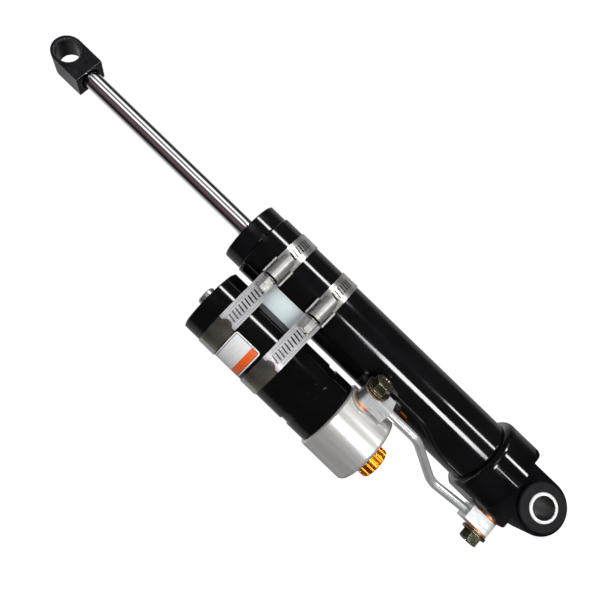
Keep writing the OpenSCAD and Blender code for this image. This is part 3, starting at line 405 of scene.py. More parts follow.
class SHOCK_OT_rod(bpy.types.Operator):
    """Chromes the piston rod and paints its eye block"""
    bl_idname = "shock.rod"
    bl_label = "Piston Rod"

    def execute(self, context):
        finishes = context.scene.shock_finishes
        base = finishes.chrome[:]
        chrome = Finish("rod_chrome", base, 1.0, 0.06)
        lines = chrome.noise((1600.0, 1600.0, 26.0))
        film = chrome.noise((160.0, 160.0, 40.0), 3.0)
        chrome.tint(film, 0.3, 0.75, shaded(base, 0.92), shaded(base, 1.06))
        chrome.gloss(lines, 0.35, 0.7, 0.03, 0.06)
        chrome.bump(lines, 0.0000008, 0.4)
        put(chrome, "piston_rod")
        base = finishes.cast_paint[:]
        cast = Finish("cast_black_paint", base, 0.0, 0.3, ROD_EYE_CENTRE)
        cast.set("IOR", 1.6).set("Specular IOR Level", 0.24)
        cast.soft_edges(0.0004)
        skin = cast.even_noise(520.0, 3.0, 0.6)
        wear = cast.even_noise(130.0, 4.0, 0.6)
        ground = cast.mottle(wear, 0.35, 0.75, shaded(base, 0.75), shaded(base, 1.9))
        # Edge wear and painted highlight along the block's edges
        cast.paint("Base Color", cast.mix(cast.edge_wear_and_highlight(0.0005), ground, (0.26, 0.27, 0.33)))
        cast.gloss(wear, 0.3, 0.75, 0.2, 0.42)
        cast.bump(skin, 0.00006, 0.45)
        put(cast, "rod_end")
        return {"FINISHED"}


class SHOCK_OT_lower_eye(bpy.types.Operator):
    """Finishes the eye's bushes and its steel sleeve"""
    bl_idname = "shock.lower_eye"
    bl_label = "Lower Eye"

    def execute(self, context):
        base = context.scene.shock_finishes.bush[:]
        bush = Finish("bush_plastic", base, 0.0, 0.5)
        bush.soft_edges(0.0005)
        bush.set("Specular IOR Level", 0.16)
        grain = bush.even_noise(900.0, 3.0, 0.6)
        cloud = bush.even_noise(120.0)
        bush.tint(cloud, 0.35, 0.7, shaded(base, 0.8), shaded(base, 1.3))
        bush.gloss(grain, *USUAL, 0.42, 0.6)
        bush.bump(grain, 0.00004, 0.4)
        put(bush, "eye_bush_front", "eye_bush_back")
        self.sleeve()
        return {"FINISHED"}

    def sleeve(self):
        """Steel with bright end faces and a bore painted dark and mottled as shade"""
        low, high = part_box("eye_sleeve")
        near, far = SLEEVE_END
        sleeve = Finish("sleeve_steel", (0.8, 0.8, 0.8), 0.35, 0.3)
        sleeve.soft_edges(0.0003)
        rings = sleeve.noise((260.0, 2600.0, 260.0), 3.0, 0.6)
        along = sleeve.axes()["Y"]
        # Painted shade down the bore, away from the end faces
        bore = sleeve.product(sleeve.rise(along, low.y + near, low.y + far),
                              sleeve.fall(along, high.y - far, high.y - near))
        grime = sleeve.noise((420.0, 130.0, 420.0), 4.0, 0.6)
        bore_shade = sleeve.mottle(grime, 0.42, 0.66, (0.010, 0.0075, 0.0055),
                               (0.060, 0.050, 0.038))
        bright = sleeve.mottle(rings, *USUAL, (0.86, 0.86, 0.87), (0.94, 0.94, 0.94))
        sleeve.paint("Base Color", sleeve.mix(bore, bright, bore_shade))
        sleeve.gloss(grime, *USUAL, 0.24, 0.42)
        sleeve.bump(rings, 0.00001, 0.5)
        put(sleeve, "eye_sleeve")


class SHOCK_OT_clamps(bpy.types.Operator):
    """Finishes the two band clamps, their housings and screws"""
    bl_idname = "shock.clamps"
    bl_label = "Band Clamps"

    def execute(self, context):
        base = context.scene.shock_finishes.stainless[:]
        for end in ("upper", "lower"):
            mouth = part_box(end + "_clamp_housing")[0].x
            self.band(end, base)
            self.housing(end, base, mouth)
            self.screw(end, base, mouth)
        return {"FINISHED"}

    def band(self, end, base):
        """Slotted band: a tail over the reservoir's side and a bare loop round the tube"""
        low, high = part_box(end + "_clamp_band")
        centre = (RESERVOIR_X, 0.0, (low.z + high.z) / 2)
        band = Finish(end + "_clamp_steel", base, 1.0, 0.3, centre)
        place = band.axes()
        x, y, z = (place[k] for k in "XYZ")
        in_slot = band.fall(band.math("ABSOLUTE", z), *SLOT_EDGE)

        # Height over the reservoir, along its round side and then the straight run
        right = band.math("MAXIMUM", x, 0.0)
        left = band.math("MINIMUM", x, 0.0)
        height = band.math("ADD", band.distance(left, y), band.product(right, RUN_SLOPE))
        on_tail = band.product(band.fall(x, *TAIL_STOP), band.fall(y, *TAIL_SIDE))
        top = band.product(on_tail, band.rise(height, *TAIL_FACE))
        slots = band.product(band.fall(height, *TAIL_SLOT_FACE), band.rise(x, *TAIL_START),
                             in_slot, on_tail)

        # Walls of the open slots over the tube, painted nearly black as shade
        from_tube = band.math("ADD", x, RESERVOIR_X)
        tube_slots = band.product(band.fall(band.distance(from_tube, y), *TUBE_BAND_FACE),
                                  in_slot, band.rise(from_tube, *TUBE_SIDE))

        # Bright steel, a bend left of the tail painted darker and warmer, partly as stain and
        # partly as a painted dark reflection on the front, and the paler tail
        stain = band.noise((90.0, 90.0, 240.0))
        cloud = band.noise((70.0, 70.0, 50.0), 1.0, 0.4)
        ground = band.mottle(stain, 0.3, 0.75, shaded(base, 0.80), shaded(base, 1.12))
        bend = band.product(band.fall(x, *DARK_BEND_STOP), band.rise(x, *DARK_BEND_START),
                            band.fall(y, *DARK_BEND_SIDE))
        stain_and_dark_reflection = band.mottle(cloud, 0.36, 0.64, (0.17, 0.148, 0.128), (0.40, 0.36, 0.29))
        ground = band.mix(bend, ground, stain_and_dark_reflection)
        tail = band.mottle(stain, 0.3, 0.75, (0.50, 0.49, 0.52), (0.66, 0.65, 0.68))
        ground = band.mix(top, ground, tail)

        # Painted shade in the corners and in the slots, lighter towards the tail's end
        ground = band.mix(band.corner_shade(0.0010, 0.25, 0.6), ground, (0.05, 0.045, 0.04))
        slot_shade = band.mottle(x, *SLOT_SHADE_FADE, (0.17, 0.17, 0.20), (0.030, 0.026, 0.027))
        ground = band.mix(slots, ground, slot_shade)
        band.paint("Base Color", band.mix(tube_slots, ground, (0.008, 0.007, 0.008)))
        bare = band.math("SUBTRACT", 1.0, tube_slots)
        band.paint("Metallic", band.product(band.remap(top, 0.0, 1.0, 0.85, 0.55), bare))
        lines = band.noise((70.0, 70.0, 3600.0))
        band.gloss(lines, *USUAL, 0.22, 0.32)
        band.bump(lines, 0.0000015, 0.5)
        put(band, end + "_clamp_band")

    def housing(self, end, base, mouth):
        """Brushed shell, lighter than the band as a painted highlight, with painted highlights
        along its edges and painted shade at its mouth and in its gaps
        """
        shell = Finish(end + "_housing_steel", base, 0.8, 0.4)
        brushed = shell.noise((160.0, 900.0, 1200.0))
        grime = shell.noise((260.0, 500.0, 500.0), 3.0)
        # Painted highlight: the shell's steel is lighter than the band's, standing in for the
        # barrel's highlight
        ground = shell.mottle(grime, 0.3, 0.72, shaded(base, 1.05), shaded(base, 1.42))
        # Painted highlight along the shell's edges
        ground = shell.mix(shell.edge_wear_and_highlight(0.00035), ground, (0.92, 0.92, 0.90))
        # Painted shade at the mouth, where the screw enters, and in the gaps beside the barrel
        mouth_shade = shell.fall(shell.axes()["X"], *(mouth + step for step in HOUSING_MOUTH))
        ground = shell.mix(mouth_shade, ground, PAINTED_SHADE)
        shell.paint("Base Color", shell.mix(shell.corner_shade(0.0026, 0.6, 0.95), ground, PAINTED_SHADE))
        shell.gloss(brushed, *USUAL, 0.30, 0.37)
        shell.bump(brushed, 0.000001, 0.4)
        put(shell, end + "_clamp_housing")

    def screw(self, end, base, mouth):
        """Hexagon lighter than the band as a painted highlight, with painted highlights along its
        edges and painted shade at its neck, where it enters the housing, and in its corners
        """
        worn = Finish(end + "_screw_steel", base, 0.7, 0.26)
        grime = worn.even_noise(300.0, 3.0)
        # Painted highlight: the screw's steel is lighter than the band's, standing in for the
        # facets' highlight
        ground = worn.mottle(grime, 0.35, 0.75, shaded(base, 1.05), shaded(base, 1.4))
        # Painted highlight along the hexagon's edges
        ground = worn.mix(worn.edge_wear_and_highlight(0.0003), ground, (0.95, 0.95, 0.94))
        # Painted shade at the neck and in the corners round the hexagon
        neck_shade = worn.rise(worn.axes()["X"], *(mouth + step for step in SCREW_NECK))
        ground = worn.mix(neck_shade, ground, PAINTED_SHADE)
        worn.paint("Base Color", worn.mix(worn.corner_shade(0.0030, 0.6, 0.95), ground,
                                          (0.012, 0.010, 0.009)))
        worn.gloss(grime, *USUAL, 0.2, 0.3)
        worn.bump(grime, 0.000004, 0.4)
        put(worn, end + "_clamp_screw")


class SHOCK_OT_spacer(bpy.types.Operator):
    """Finishes the translucent saddle spacer"""
    bl_idname = "shock.spacer"
    bl_label = "Saddle Spacer"

    def execute(self, context):
        base = context.scene.shock_finishes.spacer[:]
        spacer = Finish("spacer_nylon", base, 0.0, 0.38, SPACER_CENTRE)
        spacer.soft_edges(0.0004)
        cloud = spacer.noise((90.0, 90.0, 60.0), 3.0)
        grain = spacer.even_noise(900.0)
        ground = spacer.mottle(cloud, *USUAL, shaded(base, 0.9), shaded(base, 1.1))
        # Painted highlight along the spacer's edges
        spacer.paint("Base Color", spacer.mix(spacer.edge_wear_and_highlight(0.0005), ground,
                                              (0.92, 0.94, 0.94)))
        spacer.set("Subsurface Weight", 0.35).set("Subsurface Radius", (0.004, 0.005, 0.005))
        spacer.set("Subsurface Scale", 1.0)
        spacer.gloss(grain, *USUAL, 0.3, 0.46)
        spacer.bump(grain, 0.00002, 0.3)
        put(spacer, "saddle_spacer")
        return {"FINISHED"}


class SHOCK_OT_reservoir_head(bpy.types.Operator):
    """Finishes the turned head, the knob and the valve cap"""
    bl_idname = "shock.reservoir_head"
    bl_label = "Reservoir Head"

    def execute(self, context):
        finishes = context.scene.shock_finishes
        base = finishes.aluminium[:]
        head = Finish("turned_aluminium", base, 0.55, 0.3, HEAD_CENTRE)
        head.soft_edges(0.0003)
        rings = head.noise((90.0, 90.0, 6500.0), 3.0, 0.65)
        streaks = head.noise((420.0, 420.0, 24.0), 3.0, 0.6)
        head.tint(streaks, 0.3, 0.75, shaded(base, 0.86), shaded(base, 1.08))
        head.gloss(rings, *USUAL, 0.27, 0.34)
        head.bump(rings, 0.000002, 0.6)
        put(head, "reservoir_head")
        base = finishes.knob[:]
        knob = Finish("orange_anodising", base, 0.92, 0.24, KNOB_CENTRE)
        knob.soft_edges(0.0002)
        rings = knob.noise((200.0, 200.0, 5000.0), 2.0, 0.6)
        cloud = knob.even_noise(260.0, 3.0)
        ground = knob.mottle(cloud, 0.3, 0.75, shaded(base, 0.85), shaded(base, 1.1))
        # Painted shade in the flutes' hollows
        ground = knob.mix(knob.corner_shade(0.0016), ground, (0.32, 0.03, 0.004))
        # Painted highlight along the flutes' edges
        knob.paint("Base Color", knob.mix(knob.edge_wear_and_highlight(0.0003), ground, (1.0, 0.55, 0.07)))
        knob.gloss(rings, *USUAL, 0.14, 0.24)
        knob.bump(rings, 0.000003, 0.4)
        put(knob, "adjuster_knob")
        silver = Finish("silver_fittings", (0.72, 0.72, 0.71), 0.85, 0.25)
        silver.soft_edges(0.0003)
        rings = silver.noise((300.0, 300.0, 2800.0), 3.0, 0.6)
        silver.tint(rings, *USUAL, (0.6, 0.6, 0.59), (0.82, 0.82, 0.81))
        silver.gloss(rings, *USUAL, 0.18, 0.34)
        silver.bump(rings, 0.00001, 0.4)
        put(silver, "valve_cap", "knob_screw")
        return {"FINISHED"}


class SHOCK_OT_oil_line(bpy.types.Operator):
    """Finishes the oil line's pipe, blocks, bolts and washers"""
    bl_idname = "shock.oil_line"
    bl_label = "Oil Line"

    def execute(self, context):
        finishes = context.scene.shock_finishes
        self.blocks(finishes.zinc[:])
        self.pipe(finishes.zinc[:])
        self.bolts(finishes.olive[:])
        self.washers(finishes.copper[:])
        return {"FINISHED"}

    def blocks(self, base):
        """Streaked zinc with painted highlights along its edges and a painted dark reflection on
        the upper block's rounded crown
        """
        zinc = Finish("bright_zinc", base, 0.32, 0.3)
        zinc.soft_edges(0.0005)
        streaks = zinc.noise((900.0, 900.0, 160.0), 4.0, 0.65)
        spangle = zinc.even_noise(900.0)
        ground = zinc.mottle(streaks, 0.3, 0.72, shaded(base, 0.84), shaded(base, 1.06))
        facing = zinc.split(zinc.node("ShaderNodeNewGeometry").outputs["Normal"])
        # Painted dark reflection on the upper block's faces that point up
        crown_dark_reflection = zinc.product(zinc.rise(facing["Z"], *CROWN_REFLECTION_FACING),
                             zinc.rise(zinc.axes()["Z"], *BLOCKS_APART))
        ground = zinc.mix(crown_dark_reflection, ground, (0.13, 0.14, 0.155))
        # Painted highlight along the edges
        zinc.paint("Base Color", zinc.mix(zinc.edge_wear_and_highlight(0.0005), ground, (0.97, 0.98, 1.0)))
        zinc.gloss(streaks, *USUAL, 0.24, 0.38)
        zinc.bump(spangle, 0.000006, 0.3)
        put(zinc, "upper_banjo_block", "lower_banjo_block")

    def pipe(self, base):
        pipe = Finish("pipe_zinc", base, 0.66, 0.2)
        drawn = pipe.noise((320.0, 320.0, 90.0), 3.0)
        pipe.tint(drawn, *USUAL, shaded(base, 0.94), shaded(base, 1.06))
        pipe.gloss(drawn, *USUAL, 0.20, 0.25)
        grain = pipe.even_noise(700.0, 1.0)
        pipe.bump(grain, 0.0000008, 0.3)
        put(pipe, "crossover_pipe")

    def bolts(self, base):
        olive = Finish("olive_zinc", base, 0.8, 0.3)
        olive.soft_edges(0.00025)
        stain = olive.even_noise(240.0, 3.0)
        ground = olive.mottle(stain, 0.3, 0.72, shaded(base, 0.6), shaded(base, 1.4))
        # Painted shade in the corners round the hexagon and the flange
        ground = olive.mix(olive.corner_shade(0.0025, 0.5, 0.9), ground, (0.012, 0.011, 0.008))
        # Edge wear and painted highlight along the hexagon's and the flange's edges
        olive.paint("Base Color", olive.mix(olive.edge_wear_and_highlight(0.0006), ground,
                                            (0.70, 0.67, 0.52)))
        olive.gloss(stain, *USUAL, 0.16, 0.3)
        olive.bump(stain, 0.000008, 0.4)
        put(olive, "upper_banjo_bolt", "lower_banjo_bolt")

    def washers(self, base):
        copper = Finish("washer_copper", base, 0.75, 0.26)
        copper.soft_edges(0.0002)
        stain = copper.even_noise(500.0, 3.0, 0.6)
        copper.tint(stain, *USUAL, shaded(base, 0.75), shaded(base, 1.12))
        copper.gloss(stain, *USUAL, 0.30, 0.44)
        copper.bump(stain, 0.00002, 0.4)
        put(copper, "upper_washers", "lower_washers")


# Name, base, metallic, roughness, grain per metre along X, Y and Z, dark and light colour,
# least and most roughness, depth and strength of the grain, and the CAD nodes
INNER_FINISHES = (
    ("nitrile_rubber", (0.02, 0.02, 0.021), 0.0, 0.55, (700.0, 700.0, 700.0),
     (0.013, 0.013, 0.014), (0.03, 0.03, 0.031), 0.45, 0.65, 0.00004, 0.4,
     ("end_cap_o_ring", "rod_wiper", "seal_head_o_ring", "rod_seal", "top_out_bumper",
      "reservoir_cap_o_ring", "floating_piston_o_ring", "head_o_ring", "spindle_o_ring")),
    ("bearing_bronze", (0.62, 0.44, 0.2), 1.0, 0.34, (600.0, 600.0, 2400.0),
     (0.5, 0.34, 0.15), (0.7, 0.52, 0.26), 0.26, 0.44, 0.00001, 0.4, ("rod_bushing",)),
    ("guide_band", (0.30, 0.25, 0.17), 0.0, 0.4, (1100.0, 1100.0, 1100.0),
     (0.2, 0.16, 0.11), (0.36, 0.3, 0.2), 0.32, 0.5, 0.00002, 0.4,
     ("piston_band", "floating_piston_band")),
    ("machined_aluminium", (0.76, 0.76, 0.75), 1.0, 0.28, (300.0, 300.0, 4200.0),
     (0.68, 0.68, 0.67), (0.82, 0.82, 0.81), 0.2, 0.36, 0.00001, 0.5,
     ("seal_head", "piston", "floating_piston")),
    ("ground_steel", (0.6, 0.59, 0.58), 1.0, 0.24, (500.0, 500.0, 2600.0),
     (0.5, 0.49, 0.48), (0.68, 0.67, 0.66), 0.16, 0.32, 0.00001, 0.5,
     ("rebound_plate", "rebound_shims", "compression_shims", "compression_plate",
      "piston_nut", "adjuster_spindle", "metering_needle", "detent_ball", "detent_spring")),
    ("valve_brass", (0.72, 0.55, 0.26), 1.0, 0.3, (500.0, 500.0, 2600.0),
     (0.6, 0.44, 0.18), (0.8, 0.62, 0.32), 0.22, 0.4, 0.00001, 0.5,
     ("gas_valve", "valve_core", "needle_seat")),
)


class SHOCK_OT_inner_parts(bpy.types.Operator):
    """Finishes the parts inside the tube and the reservoir"""
    bl_idname = "shock.inner_parts"
    bl_label = "Inner Parts"

    def execute(self, context):
        for (name, base, metallic, roughness, scale, dark, light, smooth, rough, depth,
             strength, nodes) in INNER_FINISHES:
            made = Finish(name, base, metallic, roughness)
            grain = made.noise(scale, 3.0)
            made.tint(grain, *USUAL, dark, light)
            made.gloss(grain, *USUAL, smooth, rough)
            made.bump(grain, depth, strength)
            put(made, *nodes)
        return {"FINISHED"}


# Label

class SHOCK_OT_label(bpy.types.Operator):
    """Lays the blank label with its border and strip round the reservoir"""
    bl_idname = "shock.label"
    bl_label = "Reservoir Label"

    def execute(self, context):
        finishes = context.scene.shock_finishes
        low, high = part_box("reservoir_label")
        bm = bmesh.new()
        self.draw_flat(bm, high.z - low.z, finishes.label_corner, finishes.strip_height)
        self.bend_round(bm, (low.z + high.z) / 2)
        bmesh.ops.solidify(bm, geom=list(bm.faces), thickness=LABEL_THICKNESS)
        film = self.film("label_film", finishes.label[:])
        rule = self.film("label_rule", (0.05, 0.05, 0.07))
        strip = self.film("label_strip", finishes.strip[:])
        piece = solid_piece("reservoir_label_film", bm, film, rule, strip)
        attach(piece, "damper_body")
        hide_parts("reservoir_label")
        put(film, "reservoir_label")
        return {"FINISHED"}

    def draw_flat(self, bm, height, corner, strip_height):
        """Flat sheet with round corners: slot 0 film, 1 border line, 2 strip"""
        width = LABEL_RADIUS * LABEL_SWEEP
        bmesh.ops.create_grid(bm, x_segments=1, y_segments=1, size=0.5)
        bmesh.ops.scale(bm, vec=(width, height, 1.0), verts=bm.verts)
        bmesh.ops.bevel(bm, geom=list(bm.verts), offset=corner, segments=6, profile=0.5,
                        affect="VERTICES", material=-1)
        whole = list(bm.faces)
        edge, rule = (bmesh.ops.inset_region(bm, faces=whole, thickness=thickness,
                                             use_even_offset=True, use_boundary=True)["faces"]
                      for thickness in (RULE_INSET, RULE_WIDTH))
        for face in rule:
            face.material_index = 1
        strip_top = strip_height - height / 2
        middle = whole[0]
        bmesh.ops.bisect_plane(bm, geom=whole + list(middle.edges) + list(middle.verts),
                               plane_co=(0.0, strip_top, 0.0), plane_no=(0.0, 1.0, 0.0))
        border = edge + rule
        for face in bm.faces:
            if face not in border and face.calc_center_median().y < strip_top:
                face.material_index = 2
        for k in range(1, LABEL_STEPS):
            x = width * (k / LABEL_STEPS - 0.5)
            bmesh.ops.bisect_plane(bm, geom=list(bm.verts) + list(bm.edges) + list(bm.faces),
                                   plane_co=(x, 0.0, 0.0), plane_no=(1.0, 0.0, 0.0))

    def bend_round(self, bm, middle):
        """Bends the sheet round the reservoir and turns its faces outward"""
        centre = LABEL_START + LABEL_SWEEP / 2
        for v in bm.verts:
            around = centre + v.co.x / LABEL_RADIUS
            v.co = Vector((RESERVOIR_X - LABEL_RADIUS * math.sin(around),
                           -LABEL_RADIUS * math.cos(around), middle + v.co.y))
        bmesh.ops.recalc_face_normals(bm, faces=bm.faces)
        outward = 0.0
        for face in bm.faces:
            spot = face.calc_center_median()
            outward += face.calc_area() * face.normal.dot(Vector((spot.x - RESERVOIR_X,
                                                                  spot.y, 0.0)))
        if outward < 0.0:
            bmesh.ops.reverse_faces(bm, faces=bm.faces)

    def film(self, name, base):
        made = Finish(name, base, 0.0, 0.32, (RESERVOIR_X, 0.0, 0.2))
        grain = made.even_noise(500.0, 3.0)
        scuff = made.noise((140.0, 140.0, 900.0), 3.0, 0.6)
        made.tint(scuff, 0.35, 0.75, shaded(base, 0.9), shaded(base, 1.05))
        made.gloss(grain, *USUAL, 0.26, 0.42)
        made.bump(grain, 0.00001, 0.3)
        return made


# Studio

SENSOR_WIDTH = 36.0
CLIP_START, CLIP_END = 0.01, 20.0
FLOOR_RADIUS = 3.0
FLOOR_GAP = 0.0003
FLOOR_GLOW = 0.82

# Strip lamps: name, azimuth in degrees from the front towards +X, the heights that each one
# runs between, its width, its share of the lamp level, and whether it keeps off the reservoir
STRIPS = (
    ("front_strip", -7.5, -0.41, -0.04, 0.23, 1.0, True),
    ("front_top_strip", -7.5, -0.04, 0.09, 0.07, 0.8, True),
    ("front_thin_strip", -6.0, -0.52, -0.415, 0.03, 1.0, False),
    ("right_strip", 44.0, 0.14, 0.45, 0.16, 1.0, False),
    ("right_low_strip", 33.5, -0.56, -0.25, 0.12, 1.0, False),
)
FILL = ("soft_fill", -14.0, -0.60, 1.20, 1.80)

# Slopes and azimuths of the world's zones: a slope is height over distance, an azimuth is in
# degrees from the front towards +X
BACK_START = (0.15, 0.5)
LOW_SLOPE = (-0.50, -0.40)
LOW_SHARE = 0.12
ROD_SLOPE_START = (0.142, 0.156)
ROD_SLOPE_STOP = (0.490, 0.510)
PANEL_LEFT = (-7.0, -4.0)
PANEL_RIGHT = (7.0, 9.0)
PANEL_BOTTOM = (-0.85, -0.80)
PANEL_TOP = (-0.50, -0.48)
PANEL_LEVEL = (1.4, 1.4, 1.42)

# What the rod mirrors: the azimuths where each soft box or card starts, is full, begins to fade
# and stops, and its radiance. Each lies over those before it, and a wall stands behind.
DUSKY_CARD = (0.15, 0.10, 0.11)
COOL_CARD = (0.17, 0.17, 0.20)
SOFT_BOX = (1.7, 1.7, 1.7)
ROD_SURROUND = (
    (-181.0, -180.0, -112.0, -92.0, COOL_CARD),
    (-84.0, -36.0, -34.0, -4.0, DUSKY_CARD),
    (8.0, 18.0, 62.0, 90.0, COOL_CARD),
    (-15.0, 5.0, 8.0, 21.0, SOFT_BOX),
    (30.0, 48.0, 51.0, 71.0, SOFT_BOX),
)
ROD_GAP = (0.008, 0.008, 0.008)
ROD_BACK = (98.0, 165.0)
WHITE = (1.0, 1.0, 1.0)


def placed(right, up, back, spot):
    """Matrix with these three axes and this place"""
    return Matrix.Translation(spot) @ Matrix((right, up, back)).transposed().to_4x4()


def strip_lamp(name, azimuth, low, high, width, distance, level):
    """A soft box that runs along the shock's axis, seen from it between two heights"""
    lamp = bpy.data.lights.new(name, "AREA")
    lamp.shape = "RECTANGLE"
    lamp.size = width
    lamp.size_y = high - low
    lamp.energy = level * 4.0 * lamp.size * lamp.size_y
    made = bpy.data.objects.new(name, lamp)
    bpy.context.scene.collection.objects.link(made)
    out = Vector((math.sin(math.radians(azimuth)), -math.cos(math.radians(azimuth)), 0.0))
    axis = Vector((0.0, 0.0, 1.0))
    spot = out * distance + axis * (low + high) / 2
    made.matrix_world = placed(axis.cross(out), axis, out, spot)
    made.visible_camera = False
    return made


def keep_off(lamps, piece):
    """Flags these lamps off a piece, as a black card would"""
    flagged = bpy.data.collections.new("flagged_off")
    flagged.objects.link(piece)
    flagged.collection_objects[0].light_linking.link_state = "EXCLUDE"
    for lamp in lamps:
        lamp.light_linking.receiver_collection = flagged


class SHOCK_OT_stage(bpy.types.Operator):
    """Sets up the camera, the lamps, the world and the floor"""
    bl_idname = "shock.stage"
    bl_label = "Studio"

    def execute(self, context):
        studio = context.scene.shock_studio
        self.place_camera(context, studio)
        self.make_world(context, studio)
        self.make_floor(context)
        self.make_lamps(studio)
        context.scene.view_settings.view_transform = "Standard"
        return {"FINISHED"}

    def make_lamps(self, studio):
        off_reservoir = []
        for name, azimuth, low, high, width, part, flagged in STRIPS:
            lamp = strip_lamp(name, azimuth, low, high, width, studio.lamp_distance,
                              studio.lamp_level * part)
            if flagged:
                off_reservoir.append(lamp)
        keep_off(off_reservoir, NODES["reservoir_tube"])
        fill = strip_lamp(*FILL, studio.lamp_distance, studio.fill_level)
        fill.visible_glossy = False

    def place_camera(self, context, studio):
        data = bpy.data.cameras.new("camera")
        data.lens = studio.lens
        data.sensor_width = SENSOR_WIDTH
        data.clip_start = CLIP_START
        data.clip_end = CLIP_END
        made = bpy.data.objects.new("camera", data)
        context.scene.collection.objects.link(made)
        yaw, roll = studio.camera_yaw, studio.camera_roll
        view = Vector((math.sin(yaw), math.cos(yaw), 0.0))
        across = Vector((math.cos(yaw), -math.sin(yaw), 0.0))
        axis = Vector((0.0, 0.0, 1.0))
        up = math.cos(roll) * axis + math.sin(roll) * across
        right = -math.sin(roll) * axis + math.cos(roll) * across
        made.matrix_world = placed(right, up, -view, Vector(studio.camera_place))
        context.scene.camera = made

    def make_world(self, context, studio):
        """White for the camera, a dim room round the shock, and what the rod mirrors"""
        world = bpy.data.worlds.new("studio_world")
        world.use_nodes = True
        context.scene.world = world
        world.node_tree.nodes.clear()
        sky = Shading(world.node_tree)
        outward = sky.split(sky.node("ShaderNodeTexCoord").outputs["Generated"])
        x, y, z = (outward[k] for k in "XYZ")
        flat = sky.math("MAXIMUM", sky.distance(x, y), 0.001)
        slope = sky.math("DIVIDE", z, flat)
        azimuth = sky.math("ARCTAN2", x, sky.math("MULTIPLY", y, -1.0))
        degrees = sky.math("MULTIPLY", azimuth, 180.0 / math.pi)

        # Dim room: brighter behind the shock, darker near the floor
        room = studio.room_level
        rise = sky.remap(y, *BACK_START, 0.0, studio.back_level - room, smooth=True)
        level = sky.product(sky.math("ADD", rise, room),
                            sky.remap(slope, *LOW_SLOPE, LOW_SHARE, 1.0, smooth=True))
        grey = sky.node("ShaderNodeCombineColor")
        for channel in ("Red", "Green", "Blue"):
            sky.link(level, grey.inputs[channel])

        # Boxes and cards at the slopes that the rod mirrors to the camera
        boxes = ROD_GAP
        for begin, full, fade, stop, radiance in ROD_SURROUND:
            box = sky.product(sky.rise(degrees, begin, full, smooth=True),
                              sky.fall(degrees, fade, stop, smooth=True))
            boxes = sky.mix(box, boxes, radiance)
        behind = sky.rise(sky.math("ABSOLUTE", degrees), *ROD_BACK, smooth=True)
        boxes = sky.mix(behind, boxes, WHITE)
        on_rod = sky.product(sky.rise(slope, *ROD_SLOPE_START, smooth=True),
                             sky.fall(slope, *ROD_SLOPE_STOP, smooth=True))
        light = sky.mix(on_rod, grey.outputs["Color"], boxes)

        # Low panel that the end cap mirrors
        on_panel = sky.product(sky.rise(degrees, *PANEL_LEFT, smooth=True),
                               sky.fall(degrees, *PANEL_RIGHT, smooth=True),
                               sky.rise(slope, *PANEL_BOTTOM, smooth=True),
                               sky.fall(slope, *PANEL_TOP, smooth=True))
        light = sky.mix(on_panel, light, PANEL_LEVEL)

        path = sky.node("ShaderNodeLightPath")
        ground = sky.node("ShaderNodeBackground")
        ground.inputs["Strength"].default_value = 1.0
        sky.link(sky.mix(path.outputs["Is Camera Ray"], light, WHITE),
                 ground.inputs["Color"])
        output = sky.node("ShaderNodeOutputWorld")
        sky.link(ground.outputs["Background"], output.inputs["Surface"])

    def make_floor(self, context):
        """Pale disc under the shock that only the camera sees, clear from below"""
        bm = bmesh.new()
        bmesh.ops.create_circle(bm, cap_ends=True, segments=128, radius=FLOOR_RADIUS)
        bmesh.ops.translate(bm, verts=bm.verts, vec=(0.0, 0.0, CAD_BOX[0].z - FLOOR_GAP))
        mesh = bpy.data.meshes.new("floor")
        bm.to_mesh(mesh)
        bm.free()
        floor = bpy.data.objects.new("floor", mesh)
        context.scene.collection.objects.link(floor)
        floor.visible_glossy = False
        floor.visible_diffuse = False
        floor.visible_transmission = False
        floor.visible_shadow = False
        material = bpy.data.materials.new("pale_floor")
        material.use_nodes = True
        material.node_tree.nodes.clear()
        pale = Shading(material.node_tree)
        lit = pale.node("ShaderNodeBsdfDiffuse")
        lit.inputs["Color"].default_value = (0.9, 0.9, 0.9, 1.0)
        seen = pale.node("ShaderNodeLightPath").outputs["Is Camera Ray"]
        glow = pale.node("ShaderNodeEmission")
        pale.link(pale.math("MULTIPLY", seen, FLOOR_GLOW), glow.inputs["Strength"])
        both = pale.node("ShaderNodeAddShader")
        pale.link(lit.outputs["BSDF"], both.inputs[0])
        pale.link(glow.outputs["Emission"], both.inputs[1])
        below = pale.node("ShaderNodeNewGeometry").outputs["Backfacing"]
        clear = pale.node("ShaderNodeBsdfTransparent")
        pick = pale.node("ShaderNodeMixShader")
        pale.link(below, pick.inputs["Fac"])
        pale.link(both.outputs["Shader"], pick.inputs[1])
        pale.link(clear.outputs["BSDF"], pick.inputs[2])
        output = pale.node("ShaderNodeOutputMaterial")
        pale.link(pick.outputs["Shader"], output.inputs["Surface"])
        floor.data.materials.append(material)


# Add-on

OPERATORS = (SHOCK_OT_stage, SHOCK_OT_black_parts, SHOCK_OT_rod, SHOCK_OT_lower_eye,
             SHOCK_OT_clamps, SHOCK_OT_spacer, SHOCK_OT_reservoir_head, SHOCK_OT_oil_line,
             SHOCK_OT_label, SHOCK_OT_inner_parts)


class SHOCK_PT_sidebar(bpy.types.Panel):
    """Sizes, colours and steps of the shock"""
    bl_idname = "SHOCK_PT_sidebar"
    bl_label = "Gas Shock Absorber"
    bl_space_type = "VIEW_3D"
    bl_region_type = "UI"
    bl_category = "Shock"

    def draw(self, context):
        layout = self.layout
        for group in (context.scene.shock_finishes, context.scene.shock_studio):
            box = layout.box()
            for key in group.bl_rna.properties.keys():
                if key not in ("rna_type", "name"):
                    box.prop(group, key)
        for operator in OPERATORS:
            layout.operator(operator.bl_idname)


CLASSES = (ShockFinishes, ShockStudio, *OPERATORS, SHOCK_PT_sidebar)


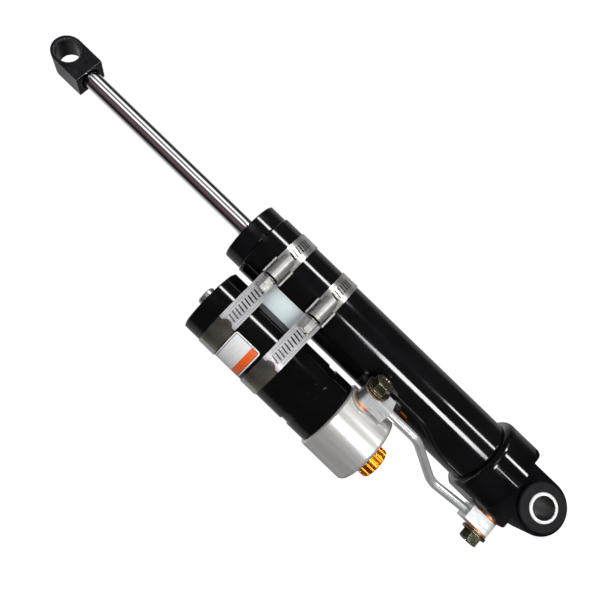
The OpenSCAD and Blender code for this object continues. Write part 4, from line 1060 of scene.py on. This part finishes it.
def register():
    for item in CLASSES:
        bpy.utils.register_class(item)
    bpy.types.Scene.shock_finishes = PointerProperty(type=ShockFinishes)
    bpy.types.Scene.shock_studio = PointerProperty(type=ShockStudio)


def unregister():
    del bpy.types.Scene.shock_studio
    del bpy.types.Scene.shock_finishes
    for item in reversed(CLASSES):
        bpy.utils.unregister_class(item)


def main():
    register()
    for operator in OPERATORS:
        group, name = operator.bl_idname.split(".")
        getattr(getattr(bpy.ops, group), name)()


if __name__ == "__main__":
    main()
